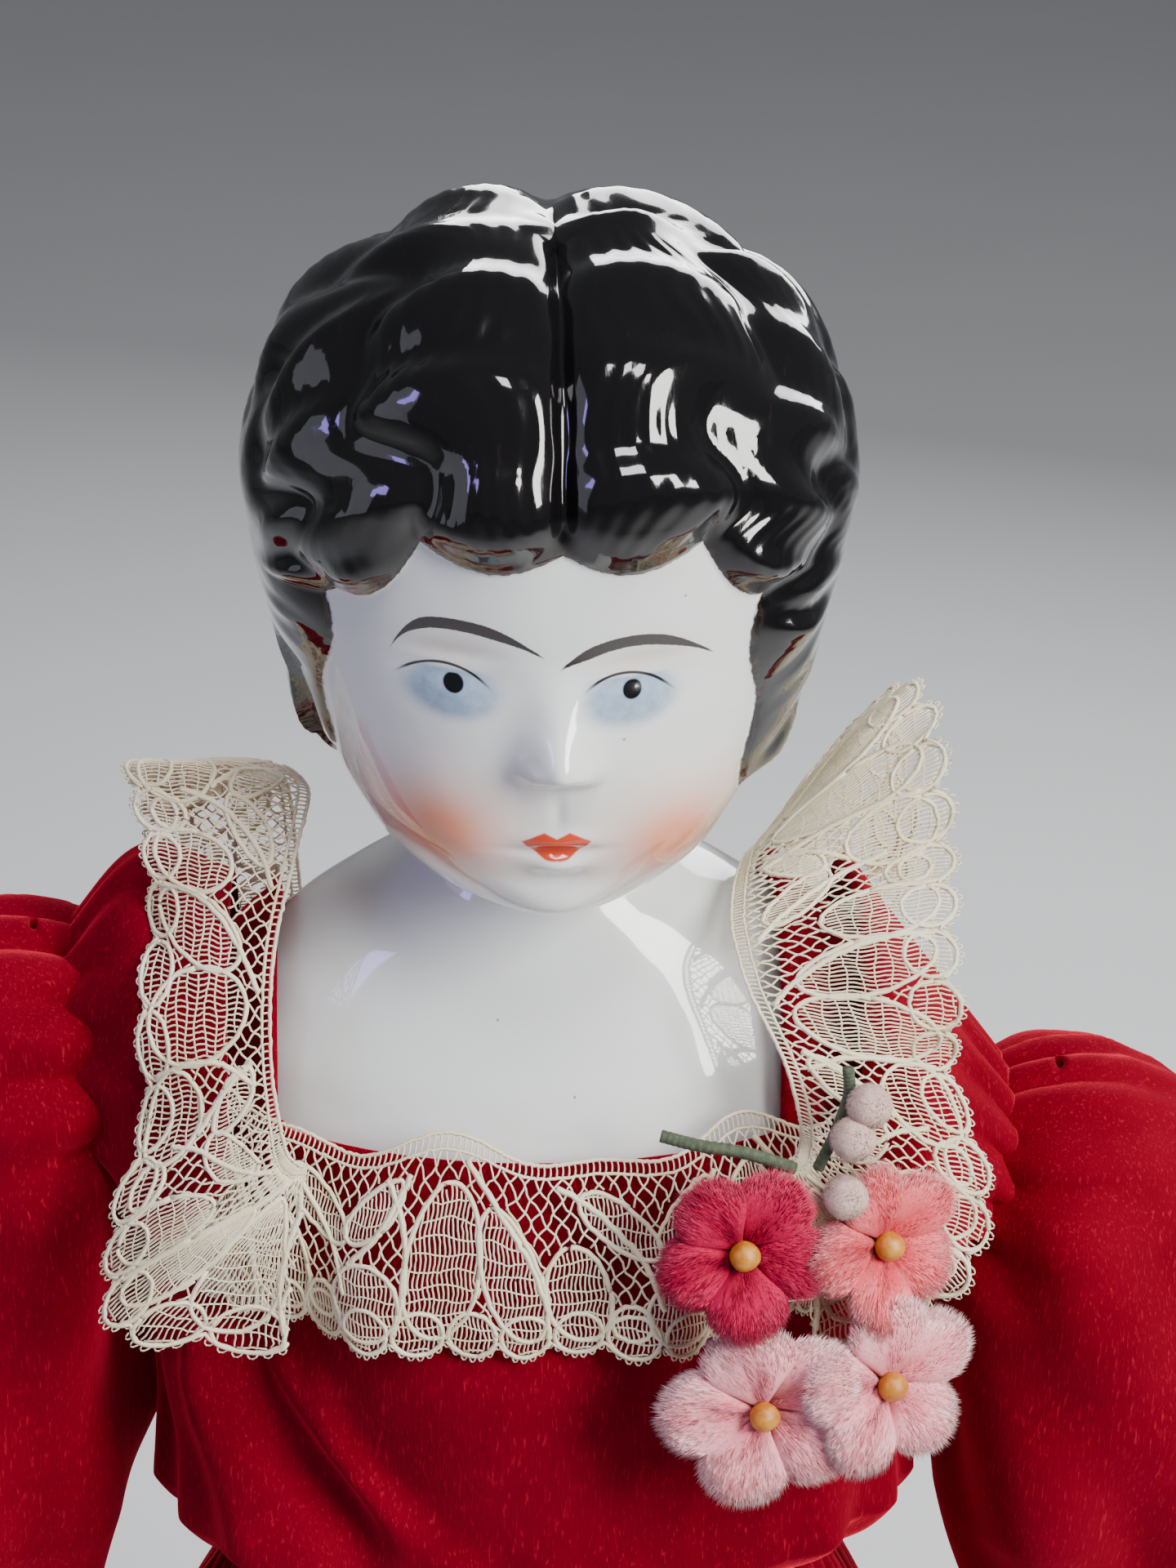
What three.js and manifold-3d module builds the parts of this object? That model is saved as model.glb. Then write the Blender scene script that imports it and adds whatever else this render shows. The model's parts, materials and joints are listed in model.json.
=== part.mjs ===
// A china-headed doll in a red velvet dress, standing, in millimetres.
// +Z is up, the face looks towards -Y, and the floor under the hem is z = 0.
// Left and right are the doll's own, so her left side is at +X.
// She is built as such dolls are: a hollow glazed head and shoulder plate sewn over a stuffed cloth
// torso, stuffed upper arms and thighs, china lower arms and booted lower legs, and a loose dress.
import * as THREE from 'three';
import { mergeVertices } from 'three/addons/utils/BufferGeometryUtils.js';
import Module from 'manifold-3d';

// ---- Driving dimensions ----
const HEIGHT = 480;             // floor to crown
const PLATE_RIM_Z = 340;        // lower edge of the china shoulder plate
const NECKLINE_Z = 366;         // top of the square neckline
const NECKLINE_HALF = 31.5;     // half the width of the square neckline
const WAIST_Z = 284;            // middle of the waistband
const TORSO_FLOOR_Z = 249;      // underside of the stuffed torso
const HIP = { x: 21, z: 235 };  // hip hinge
const SHOULDER_Z = 362;         // shoulder hinge
const ARM_PLANE = 52.8;         // the arms stay outside this distance from the middle
const ARM_X = 69;               // where the arm turns down from its stub
const ARM_LEAN = 0.2;           // the arm moves out by this share of its drop
const CHINA = 3;                // wall of the china casting
const CLOTH = 1.2;              // wall of the sewn muslin
const VELVET = 2;               // velvet with its lining
const GAP = 0.4;                // clearance between touching pieces
const LACE_WIDTH = 24;          // width of the lace edging
const FLOWER_RADIUS = 9.8;      // tip of a petal from the stamen
const CLEAR = 60;               // past the front and the back of the torso
const SLEEVE_TOP = 12.8;        // top of the sleeve's puff over the shoulder hinge

// ---- Body sections: [height, half width, half depth, middle's y] ----
const FIGURE = [
  [249, 33, 22, 0],
  [253, 38, 26, 0],
  [262, 42, 29, 0],
  [276, 37, 27, 0],
  [284, 35, 26, 0],
  [292, 42, 28, 0],
  [302, 48.5, 30.5, -1],
  [322, 49, 31.5, -1],
  [340, 47.5, 31, -1],
  [352, 46, 29.5, -1],
  [366, 44.5, 26.5, 0],
  [375, 42, 23.5, 1],
  [382, 37, 20.5, 1],
  [388, 29, 17, 2],
  [392, 22, 15, 3],
  [396, 16, 13.5, 3],
  [400, 15, 16, 2],
  [405, 21, 25, 0],
  [412, 26, 29.5, 0],
  [424, 31, 33, 0.5],
  [436, 36, 34.5, 2],
  [448, 37.5, 35, 3],
  [460, 35, 33, 3],
  [470, 28, 27, 3],
  [476, 19, 19, 3],
  [HEIGHT - 1, 9, 9, 3],
];
const SKIRT = [
  [0, 103, 100, 0],
  [80, 94, 90, 0],
  [150, 83, 79, 0],
  [205, 70, 66, 0],
  [240, 59, 54, 0],
  [262, 50, 43, 0],
  [274, 44, 36, 0],
  [281, 38, 29, 0],
];

// ---- Finishes ----
const finish = (color, roughness, metalness = 0) => ({ color, roughness, metalness });
const GLAZE = finish(0xe9ebea, 0.12);
const MUSLIN = finish(0xe6dcc4, 0.95);
const STUFFING = finish(0xcdb98f, 1);
const VELVET_RED = finish(0x9c0b1c, 0.9);
const LACE = finish(0xeee3c6, 0.9);
const COTTON = finish(0xf2eee2, 0.95);
const THREAD = finish(0xd8cba6, 0.9);
const STEEL = finish(0xb8b8b8, 0.35, 1);
const STEM_GREEN = finish(0x4b5a3c, 0.9);
const STAMEN_YELLOW = finish(0xd89a2b, 0.5);
const BUD_GREY = finish(0xc9b3ae, 0.95);
const ROSE = finish(0xb3193f, 0.95);
const CORAL = finish(0xe0696b, 0.95);
const PINK = finish(0xeea6b2, 0.95);

const wasm = await Module();
wasm.setup();
const doll = new THREE.Group();

// ---- Geometry helpers ----

// Joins shared vertices, drops empty triangles and turns the faces outwards.
function weld(geometry) {
  const bare = new THREE.BufferGeometry();
  bare.setAttribute('position', geometry.attributes.position.clone());
  if (geometry.index) bare.setIndex(geometry.index.clone());
  const merged = mergeVertices(bare, 1e-3);
  const p = merged.attributes.position;
  const kept = [];
  let volume = 0;
  const corner = (i) => new THREE.Vector3().fromBufferAttribute(p, i);
  for (let i = 0; i < merged.index.count; i += 3) {
    const [a, b, c] = [0, 1, 2].map((k) => merged.index.getX(i + k));
    if (a === b || b === c || c === a) continue;
    kept.push([a, b, c]);
    volume += corner(a).dot(corner(b).cross(corner(c)));
  }
  merged.setIndex(kept.flatMap(([a, b, c]) => (volume < 0 ? [a, c, b] : [a, b, c])));
  return merged;
}

function toSolid(geometry) {
  const welded = weld(geometry);
  const vertProperties = new Float32Array(welded.attributes.position.array);
  const triVerts = new Uint32Array(welded.index.array);
  return new wasm.Manifold(new wasm.Mesh({ numProp: 3, vertProperties, triVerts }));
}

function toGeometry(solid) {
  const mesh = solid.getMesh();
  const geometry = new THREE.BufferGeometry();
  geometry.setAttribute('position', new THREE.BufferAttribute(mesh.vertProperties, 3));
  geometry.setIndex(new THREE.BufferAttribute(mesh.triVerts, 1));
  return geometry;
}

const moved = (geometry, x, y, z) => geometry.translate(x, y, z);

// A box from one corner to the other.
function block(low, high) {
  const size = high.map((h, i) => h - low[i]);
  const middle = high.map((h, i) => (h + low[i]) / 2);
  return moved(new THREE.BoxGeometry(...size), ...middle);
}

// A profile of [radius, height] turned about Z.
function turned(profile, segments) {
  const points = profile.map(([r, z]) => new THREE.Vector2(r, z));
  return new THREE.LatheGeometry(points, segments).rotateX(Math.PI / 2);
}

function sectionAt(table, z) {
  const last = table.length - 1;
  if (z <= table[0][0]) return table[0];
  if (z >= table[last][0]) return table[last];
  const i = table.findIndex((row) => row[0] > z);
  const t = (z - table[i - 1][0]) / (table[i][0] - table[i - 1][0]);
  return table[i].map((value, k) => table[i - 1][k] * (1 - t) + value * t);
}

// A form that follows a table of oval sections. Its profile is a list of [offset, height], where the
// offset is measured outwards from the section, and AXIS is a point on the middle line.
const AXIS = -1000;
function fitted(table, profile, segments, ripple = () => 0) {
  const reach = 500;
  const loop = profile.map(([offset, z]) => [offset === AXIS ? 0 : reach + offset, z]);
  const geometry = turned(loop, segments);
  const p = geometry.attributes.position;
  for (let i = 0; i < p.count; i += 1) {
    const z = p.getZ(i);
    const far = Math.hypot(p.getX(i), p.getY(i));
    const angle = Math.atan2(p.getY(i), p.getX(i));
    const [, a, b, middle] = sectionAt(table, z);
    const offset = far < 1 ? 0 : far - reach + ripple(angle, z);
    const radius = far < 1 ? 0 : 1;
    p.setXYZ(i, radius * (a + offset) * Math.cos(angle), middle + radius * (b + offset) * Math.sin(angle), z);
  }
  return geometry;
}

// A wall that follows the sections between two offsets, open at both ends.
function wall(table, heights, outer, inner, segments, ripple) {
  const side = (offset) => heights.map((z) => [typeof offset === 'function' ? offset(z) : offset, z]);
  const loop = [...side(outer), ...side(inner).reverse()];
  return fitted(table, [...loop, loop[0]], segments, ripple);
}

function ring(outer, inner, low, high, segments) {
  const loop = [[outer, low], [outer, high], [inner, high], [inner, low], [outer, low]];
  return turned(loop, segments);
}

function tube(points, radius, sides, steps) {
  const circle = new THREE.Shape();
  circle.absarc(0, 0, radius, 0, 2 * Math.PI);
  const path = new THREE.CatmullRomCurve3(points.map((q) => new THREE.Vector3(...q)));
  const sweep = { steps, extrudePath: path, curveSegments: sides, bevelEnabled: false };
  return new THREE.ExtrudeGeometry(circle, sweep);
}

function add(name, geometry, look, group = doll) {
  const mesh = new THREE.Mesh(weld(geometry), new THREE.MeshStandardMaterial(look));
  mesh.name = name;
  group.add(mesh);
  return mesh;
}

// ---- Head, neck and shoulder plate, one hollow casting ----
const SEW_HOLE = 1.3;
const SEW_HOLE_X = 24;
const SEW_HOLES = [
  { x: -SEW_HOLE_X, front: -1, name: 'front_right' },
  { x: -SEW_HOLE_X, front: 1, name: 'back_right' },
  { x: SEW_HOLE_X, front: -1, name: 'front_left' },
  { x: SEW_HOLE_X, front: 1, name: 'back_left' },
];
const SEW_Z = PLATE_RIM_Z + 5;
const DRILL = { length: 24, y: 26 };        // cuts one wall of the plate, front or back
const HOLLOW_TOP_Z = 473;                   // inside of the crown
const NOSE = { y: -31, z: 428, half: [3.6, 5.5, 5.5] };

function shoulderHead() {
  const skin = FIGURE.filter(([z]) => z > PLATE_RIM_Z).map(([z]) => [0, z]);
  const hollow = skin.filter(([, z]) => z < HOLLOW_TOP_Z).map(([, z]) => [-CHINA, z]).reverse();
  const rim = [[-CHINA, PLATE_RIM_Z], [0, PLATE_RIM_Z]];
  const closed = [[AXIS, HOLLOW_TOP_Z], ...hollow, ...rim, ...skin, [AXIS, HEIGHT]];
  let solid = toSolid(fitted(FIGURE, closed, 28));
  const nose = new THREE.SphereGeometry(1, 8, 6).scale(...NOSE.half);
  solid = solid.add(toSolid(moved(nose, 0, NOSE.y, NOSE.z)));
  for (const { x, front } of SEW_HOLES) {
    const drill = new THREE.CylinderGeometry(SEW_HOLE, SEW_HOLE, DRILL.length, 8);
    solid = solid.subtract(toSolid(moved(drill, x, front * DRILL.y, SEW_Z)));
  }
  return toGeometry(solid);
}
add('shoulder_head', shoulderHead(), GLAZE);

// ---- Stuffed cloth torso ----
const CASING_OUTER = -CHINA - GAP;
const CASING_INNER = CASING_OUTER - CLOTH;
const CASING_TOP = 382;
const FLOOR_INSET = 4;           // the torso's floor is drawn in by this at its edge
const torsoHeights = FIGURE.map(([z]) => z).filter((z) => z >= 253 && z <= CASING_TOP);
add('torso_casing', fitted(FIGURE, [
  [AXIS, TORSO_FLOOR_Z],
  [CASING_OUTER - FLOOR_INSET, TORSO_FLOOR_Z],
  ...torsoHeights.map((z) => [CASING_OUTER, z]),
  ...torsoHeights.map((z) => [CASING_INNER, z]).reverse(),
  [CASING_INNER - FLOOR_INSET, TORSO_FLOOR_Z + CLOTH],
  [AXIS, TORSO_FLOOR_Z + CLOTH],
], 16), MUSLIN);
add('torso_stuffing', fitted(FIGURE, [
  [AXIS, TORSO_FLOOR_Z + CLOTH + GAP],
  [CASING_INNER - FLOOR_INSET - 0.5 - GAP, TORSO_FLOOR_Z + CLOTH + GAP],
  ...torsoHeights.map((z) => [CASING_INNER - GAP, z]),
  [AXIS, CASING_TOP + 4],
], 16), STUFFING);

// The thread in each sewing hole holds the plate down to the cloth.
for (const { x, front, name } of SEW_HOLES) {
  const knot = new THREE.CylinderGeometry(SEW_HOLE - GAP, SEW_HOLE - GAP, CHINA - 1, 8);
  const [, a, b, middle] = sectionAt(FIGURE, SEW_Z);
  const surface = (b - CHINA / 2) * Math.sqrt(1 - (x / (a - CHINA / 2)) ** 2);
  add(`sewing_thread_${name}`, knot, THREAD).position.set(x, middle + front * surface, SEW_Z);
}

// ---- Velvet bodice with a square neckline ----
const bodiceHeights = FIGURE.map(([z]) => z).filter((z) => z >= 292 && z <= 392);
const BODICE_OUTER = GAP + VELVET;
const LACE_INNER = BODICE_OUTER + GAP;
const LACE_OUTER = LACE_INNER + 0.9;

function bodice() {
  const cloth = toSolid(wall(FIGURE, bodiceHeights, BODICE_OUTER, GAP, 32));
  const neck = block([-NECKLINE_HALF, -CLEAR, NECKLINE_Z], [NECKLINE_HALF, CLEAR, HEIGHT]);
  return toGeometry(cloth.subtract(toSolid(neck)));
}
add('bodice', bodice(), VELVET_RED);

const HOOK_HEIGHTS = [334, 318, 302];
for (const [i, z] of HOOK_HEIGHTS.entries()) {
  const hook = new THREE.TorusGeometry(1.6, 0.5, 6, 10).rotateX(Math.PI / 2);
  const [, , b, middle] = sectionAt(FIGURE, z);
  add(`back_hook_${i + 1}`, hook, STEEL).position.set(0, middle + b + BODICE_OUTER + 1.2, z);
}

add('waistband', wall(FIGURE, [WAIST_Z - 2.2, WAIST_Z + 2, 288.5], BODICE_OUTER + 1, GAP, 28), VELVET_RED);

// ---- Skirt and petticoat, gathered into flutes ----
const FLUTES = 10;
const skirtHeights = SKIRT.map(([z]) => z);
const flute = (angle, z) => 2.6 * Math.cos(FLUTES * angle) * (1 - z / WAIST_Z);
add('skirt', wall(SKIRT, skirtHeights, 0, -1.8, 40, flute), VELVET_RED);
const PETTICOAT_HEM = 4;
const petticoatHeights = skirtHeights.map((z) => Math.max(z, PETTICOAT_HEM));
const petticoatOffset = (thickness) => (z) => -2.3 - thickness - 6.5 * (1 - z / WAIST_Z);
add('petticoat', wall(SKIRT, petticoatHeights, petticoatOffset(0), petticoatOffset(1.2), 24), COTTON);

// ---- Lace collar of four lengths laid round the neckline ----
const laceHeights = FIGURE.map(([z]) => z).filter((z) => z > 330 && z <= 392);
const COLLAR_HALF = 51;
const laceWall = toSolid(wall(FIGURE, laceHeights, LACE_OUTER, LACE_INNER, 32));
const laceBand = (low, high) => laceWall.intersect(toSolid(block(low, high)));
const LACE_FOOT = NECKLINE_Z - LACE_WIDTH;
const STRAP_FOOT = NECKLINE_Z + GAP;
const frontBand = laceBand([-COLLAR_HALF, -CLEAR, LACE_FOOT], [COLLAR_HALF, 0, NECKLINE_Z]);
const backBand = laceBand([-COLLAR_HALF, GAP, LACE_FOOT], [COLLAR_HALF, CLEAR, NECKLINE_Z]);
add('lace_front', toGeometry(frontBand), LACE);
add('lace_back', toGeometry(backBand), LACE);

// Each shoulder length lies on the velvet and stands up along its inner edge.
const STAND = { foot: 386, length: 22, front: 13, inner: [32, 34.5], outer: [44.6, 46] };
function laceStrap(side, rise) {
  const inner = side * NECKLINE_HALF;
  const outer = side * COLLAR_HALF;
  const low = [Math.min(inner, outer), -CLEAR, STRAP_FOOT];
  const high = [Math.max(inner, outer), CLEAR, HEIGHT];
  const lean = new THREE.Shape([
    new THREE.Vector2(side * STAND.inner[0], STAND.foot),
    new THREE.Vector2(side * STAND.inner[1], STAND.foot),
    new THREE.Vector2(side * STAND.outer[1], STAND.foot + rise),
    new THREE.Vector2(side * STAND.outer[0], STAND.foot + 1 + rise),
  ]);
  const sweep = { depth: STAND.length, bevelEnabled: false };
  const stand = new THREE.ExtrudeGeometry(lean, sweep).rotateX(Math.PI / 2);
  const free = toSolid(moved(stand, 0, STAND.front, 0));
  const bodiceSkin = toSolid(wall(FIGURE, laceHeights, LACE_INNER, -NECKLINE_HALF, 32));
  return toGeometry(laceBand(low, high).add(free.subtract(bodiceSkin)));
}
add('lace_right', laceStrap(-1, 16), LACE);
add('lace_left', laceStrap(1, 26), LACE);

// ---- Corsage on her left ----
function flowerShape() {
  const petals = 5;
  const shape = new THREE.Shape();
  const steps = 30;
  for (let i = 0; i < steps; i += 1) {
    const angle = (2 * Math.PI * i) / steps;
    const radius = FLOWER_RADIUS * (0.72 + 0.28 * Math.abs(Math.cos((petals * angle) / 2)));
    const point = [radius * Math.cos(angle), radius * Math.sin(angle)];
    if (i === 0) shape.moveTo(...point);
    else shape.lineTo(...point);
  }
  shape.closePath();
  return shape;
}
const STAMEN = 1.9;
const PETAL_THICKNESS = 1.6;
const FLOWERS = [
  { name: 'rose', at: [23.5, -39.5, 361], look: ROSE, spin: 0.4 },
  { name: 'coral', at: [40.2, -36.5, 357.5], look: CORAL, spin: 1.0 },
  { name: 'pink_low', at: [27.5, -43, 337], look: PINK, spin: 0.2 },
  { name: 'pink_side', at: [39.5, -39.3, 338.5], look: PINK, spin: 0.8 },
];
const FACE_FORWARD = Math.PI / 2;
for (const { name, at: [x, y, z], look, spin } of FLOWERS) {
  const spray = new THREE.Group();
  spray.position.set(x, y, z);
  spray.rotation.set(FACE_FORWARD, 0, 0);
  doll.add(spray);
  const petals = new THREE.ExtrudeGeometry(flowerShape(), { depth: PETAL_THICKNESS, bevelEnabled: false });
  add(`flower_${name}`, petals, look, spray).rotation.z = spin;
  const bead = new THREE.SphereGeometry(STAMEN, 8, 6);
  add(`stamen_${name}`, bead, STAMEN_YELLOW, spray).position.z = PETAL_THICKNESS + STAMEN + GAP;
}
const BUDS = [[36.5, -41, 376.5], [34.5, -46.5, 368.5], [40.5, -35.6, 382.5]];
for (const [i, at] of BUDS.entries()) {
  add(`bud_${i + 1}`, new THREE.SphereGeometry(2.8, 10, 7), BUD_GREY).position.set(...at);
}
add('stem_across', tube([[13, -34.5, 372], [20, -35.5, 371.4], [27, -36, 371]], 0.8, 6, 4), STEM_GREEN);
add('stem_up', tube([[32, -34, 376], [33.5, -33, 383], [34, -32, 388]], 0.8, 6, 4), STEM_GREEN);
add('corsage_pin', tube([[22, -35.8, 350], [30, -35.2, 349.5], [38, -33.4, 349]], 0.45, 6, 4), STEEL);

// ---- Arms: stuffed upper arm, china forearm and hand, velvet sleeve ----
const armFrame = (side) => {
  const group = new THREE.Group();
  group.position.set(side * ARM_X, 0, SHOULDER_Z);
  group.rotation.y = -side * Math.atan(ARM_LEAN);
  group.updateMatrix();
  doll.add(group);
  return group;
};

// A world-frame solid seen from inside the arm's own frame.
const inFrame = (geometry, group) => toSolid(geometry.applyMatrix4(group.matrix.clone().invert()));

const SLEEVE = [
  [-12.8, 6], [-9, 13], [-3, 17], [4, 18.4], [14, 19.4], [30, 22], [48, 23.6], [66, 23.4], [86, 20.5],
  [102, 15], [114, 10.2],
];
const SLEEVE_WALL = 1.8;
const ELBOW = 66;
const WRIST = 124;
const ARMHOLE = 15.6;
const CUFF = { low: 114.6, high: 123, radius: 9.4 };

function upperArm(side, group) {
  const drop = [
    [0, 10], [5, 9], [8.2, 5], [9.4, -2], [9.6, -20], [9.8, -40], [9.4, -56], [9, -71], [7.9, -71],
    [7.9, -64.6], [0, -64.6],
  ];
  const stub = new THREE.CylinderGeometry(7, 6, ARM_X - ARM_PLANE - 0.4, 16).rotateZ(-side * Math.PI / 2);
  const across = moved(stub, (side * (ARM_X + ARM_PLANE)) / 2, 0, SHOULDER_Z);
  return toGeometry(toSolid(turned(drop, 12)).add(inFrame(across, group)));
}

function forearm() {
  const bone = [
    [0, -65], [7.2, -65], [7.2, -68], [6.2, -69.2], [6.2, -71], [7.4, -72.6], [8, -84], [6.6, -102],
    [4.6, -WRIST], [4.4, -WRIST - 8], [0, -WRIST - 8],
  ];
  const palm = new THREE.SphereGeometry(1, 10, 7).scale(3.4, 6.2, 14);
  const fingers = new THREE.SphereGeometry(1, 8, 7).scale(2.8, 5.4, 12);
  const thumb = new THREE.SphereGeometry(1, 8, 6).scale(2, 2, 7).rotateX(-0.45);
  return toGeometry(toSolid(turned(bone, 12))
    .add(toSolid(moved(palm, 0, 0, -WRIST - 16)))
    .add(toSolid(moved(fingers, 0, -0.6, -WRIST - 25)))
    .add(toSolid(moved(thumb, 0, -6, -WRIST - 14))));
}

function sleeve(side, group) {
  const outer = SLEEVE.map(([s, r]) => [r, -s]);
  const underTop = SLEEVE_TOP - SLEEVE_WALL;
  const inner = outer.map(([r, z]) => [Math.max(r - SLEEVE_WALL, 1), Math.min(z, underTop)]).reverse();
  const closed = [[0, SLEEVE_TOP], ...outer, ...inner, [0, underTop]];
  const hole = new THREE.CylinderGeometry(ARMHOLE, ARMHOLE, 30, 20).rotateZ(Math.PI / 2);
  const low = Math.min(0, side * ARM_PLANE);
  const high = Math.max(0, side * ARM_PLANE);
  const torsoSide = block([low, -CLEAR, 0], [high, CLEAR, HEIGHT]);
  return toGeometry(toSolid(turned(closed, 18))
    .subtract(inFrame(moved(hole, side * (ARM_X - 20), 0, SHOULDER_Z), group))
    .subtract(inFrame(torsoSide, group)));
}

for (const [side, name] of [[1, 'left'], [-1, 'right']]) {
  const arm = armFrame(side);
  add(`upper_arm_${name}`, upperArm(side, arm), MUSLIN, arm);
  add(`forearm_${name}`, forearm(), GLAZE, arm);
  add(`arm_tie_${name}`, ring(10.2, 9.5, -ELBOW - 3.4, -ELBOW - 2, 12), THREAD, arm);
  add(`sleeve_${name}`, sleeve(side, arm), VELVET_RED, arm);
  const cap = ring(15, 11.5, 0, 4.4, 20).rotateY(side * Math.PI / 2);
  add(`sleeve_cap_${name}`, cap, VELVET_RED).position.set(side * ARM_PLANE, 0, SHOULDER_Z);
  add(`cuff_${name}`, ring(CUFF.radius, CUFF.radius - 2, -CUFF.high, -CUFF.low, 16), VELVET_RED, arm);
  const frill = [
    [CUFF.radius - 2, -CUFF.high - GAP], [11, -CUFF.high - 9], [10.2, -CUFF.high - 9],
    [CUFF.radius - 3, -CUFF.high - GAP], [CUFF.radius - 2, -CUFF.high - GAP],
  ];
  add(`cuff_lace_${name}`, turned(frill, 16), LACE, arm);
}

// ---- Legs: stuffed thigh, china lower leg with a heeled boot, cotton drawers ----
const KNEE = 116;
const toLocal = (z) => z - HIP.z;

function thigh() {
  const roundTop = [80, 60, 40, 20, 0].map((degrees) => {
    const angle = THREE.MathUtils.degToRad(degrees);
    return [11.8 * Math.cos(angle), 11.8 * Math.sin(angle)];
  });
  return turned([
    [0, 11.8], ...roundTop, [12, -14], [13.6, -40], [14.6, -62], [13.4, -90], [12.4, toLocal(KNEE - 8)],
    [10.6, toLocal(KNEE - 8)], [10.6, toLocal(KNEE + GAP)], [0, toLocal(KNEE + GAP)],
  ], 14);
}

function lowerLeg() {
  const shin = [
    [0, KNEE], [9.9, KNEE], [9.9, KNEE - 3], [8.6, KNEE - 4.4], [8.6, KNEE - 6.4], [10.2, KNEE - 9],
    [12.2, 92], [11.6, 74], [8, 46], [7, 30], [7.4, 16], [6.4, 6], [0, 6],
  ];
  const foot = new THREE.Shape();
  foot.moveTo(-9, 0);
  foot.lineTo(-1, 0);
  foot.lineTo(1.5, 3.5);
  foot.lineTo(6, 3.2);
  foot.lineTo(8.5, 0);
  foot.lineTo(22, 0);
  foot.quadraticCurveTo(30, 0.5, 29, 5);
  foot.quadraticCurveTo(24, 11, 8, 17);
  foot.lineTo(-8, 17);
  foot.closePath();
  const width = 12;
  const sole = new THREE.ExtrudeGeometry(foot, { depth: width, bevelEnabled: false, curveSegments: 4 });
  const placed = moved(sole, 0, 0, -width / 2).rotateX(Math.PI / 2).rotateZ(-Math.PI / 2);
  const leg = toSolid(turned(shin, 14)).add(toSolid(placed));
  return toGeometry(leg).translate(0, 0, -HIP.z);
}

for (const [side, name] of [[1, 'left'], [-1, 'right']]) {
  const leg = new THREE.Group();
  leg.position.set(side * HIP.x, 0, HIP.z);
  doll.add(leg);
  add(`thigh_${name}`, thigh(), MUSLIN, leg);
  add(`lower_leg_${name}`, lowerLeg(), GLAZE, leg);
  add(`leg_tie_${name}`, ring(13.5, 12.8, toLocal(KNEE - 6.4), toLocal(KNEE - 4.6), 14), THREAD, leg);
  const drawers = [
    [12.3, -6], [13.2, -6], [14.8, -40], [16.6, -70], [17.2, toLocal(KNEE - 2)], [18, toLocal(KNEE - 20)],
    [17, toLocal(KNEE - 20)], [16.2, toLocal(KNEE - 2)], [15.6, -70], [14, -40], [12.3, -6],
  ];
  add(`drawers_${name}`, turned(drawers, 14), COTTON, leg);
}

export default doll;
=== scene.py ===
# The looks of a china-headed doll in a red velvet dress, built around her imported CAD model.
# Shapes are worked out in millimetres, in the model's own frame, and become metres in make_mesh.
# Left and right are the doll's own: she faces -Y, so her left is at +X.
import json
import math

import bmesh
import bpy
import numpy as np
from mathutils import Matrix, Vector


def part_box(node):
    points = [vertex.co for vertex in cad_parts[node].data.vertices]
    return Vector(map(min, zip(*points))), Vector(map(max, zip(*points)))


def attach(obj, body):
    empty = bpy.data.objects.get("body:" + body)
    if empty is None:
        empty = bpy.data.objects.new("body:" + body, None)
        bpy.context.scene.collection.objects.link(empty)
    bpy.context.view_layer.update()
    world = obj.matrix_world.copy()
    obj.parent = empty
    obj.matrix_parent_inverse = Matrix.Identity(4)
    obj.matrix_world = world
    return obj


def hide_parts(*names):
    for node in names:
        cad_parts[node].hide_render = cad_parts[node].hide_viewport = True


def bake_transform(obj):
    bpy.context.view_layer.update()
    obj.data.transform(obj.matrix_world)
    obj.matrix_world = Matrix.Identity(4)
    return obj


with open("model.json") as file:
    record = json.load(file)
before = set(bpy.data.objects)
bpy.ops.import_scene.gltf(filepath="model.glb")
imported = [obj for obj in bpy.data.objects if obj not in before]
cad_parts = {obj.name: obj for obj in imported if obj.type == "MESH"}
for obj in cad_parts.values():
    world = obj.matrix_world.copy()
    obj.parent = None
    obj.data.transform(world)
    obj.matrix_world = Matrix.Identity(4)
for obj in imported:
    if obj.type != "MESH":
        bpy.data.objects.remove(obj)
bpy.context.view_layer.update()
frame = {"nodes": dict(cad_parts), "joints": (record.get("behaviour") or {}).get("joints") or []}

MM = 0.001
LEFT, RIGHT = 1, -1
SIDES = ((LEFT, "left"), (RIGHT, "right"))


def cad_mm(node):
    """The lowest and highest corner of a CAD node in millimetres."""
    low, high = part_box(node)
    return np.array(low) / MM, np.array(high) / MM


RIM_Z = cad_mm("shoulder_head")[0][2]
NECKLINE_Z = cad_mm("lace_front")[1][2]
NECK_HALF = 31.5
NECK_SLIP = 4.0  # how much wider the neck opening is on her right
NECK_SNAP = 1.2  # points this close to the opening's edge are moved onto it
PIVOTS = {j["name"]: np.array(j["pos_m"]) / MM for j in frame["joints"]}

# ---------------------------------------------------------------- camera, floor and light

CAMERA_PITCH, CAMERA_AZIMUTH, CAMERA_ROLL = 29.0, -4.0, -1.6
CAMERA_PLACE = (-19.8, -363.5, 606.4)
CAMERA_LENS = 75.3
FLOOR_HALF = 9000


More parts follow.
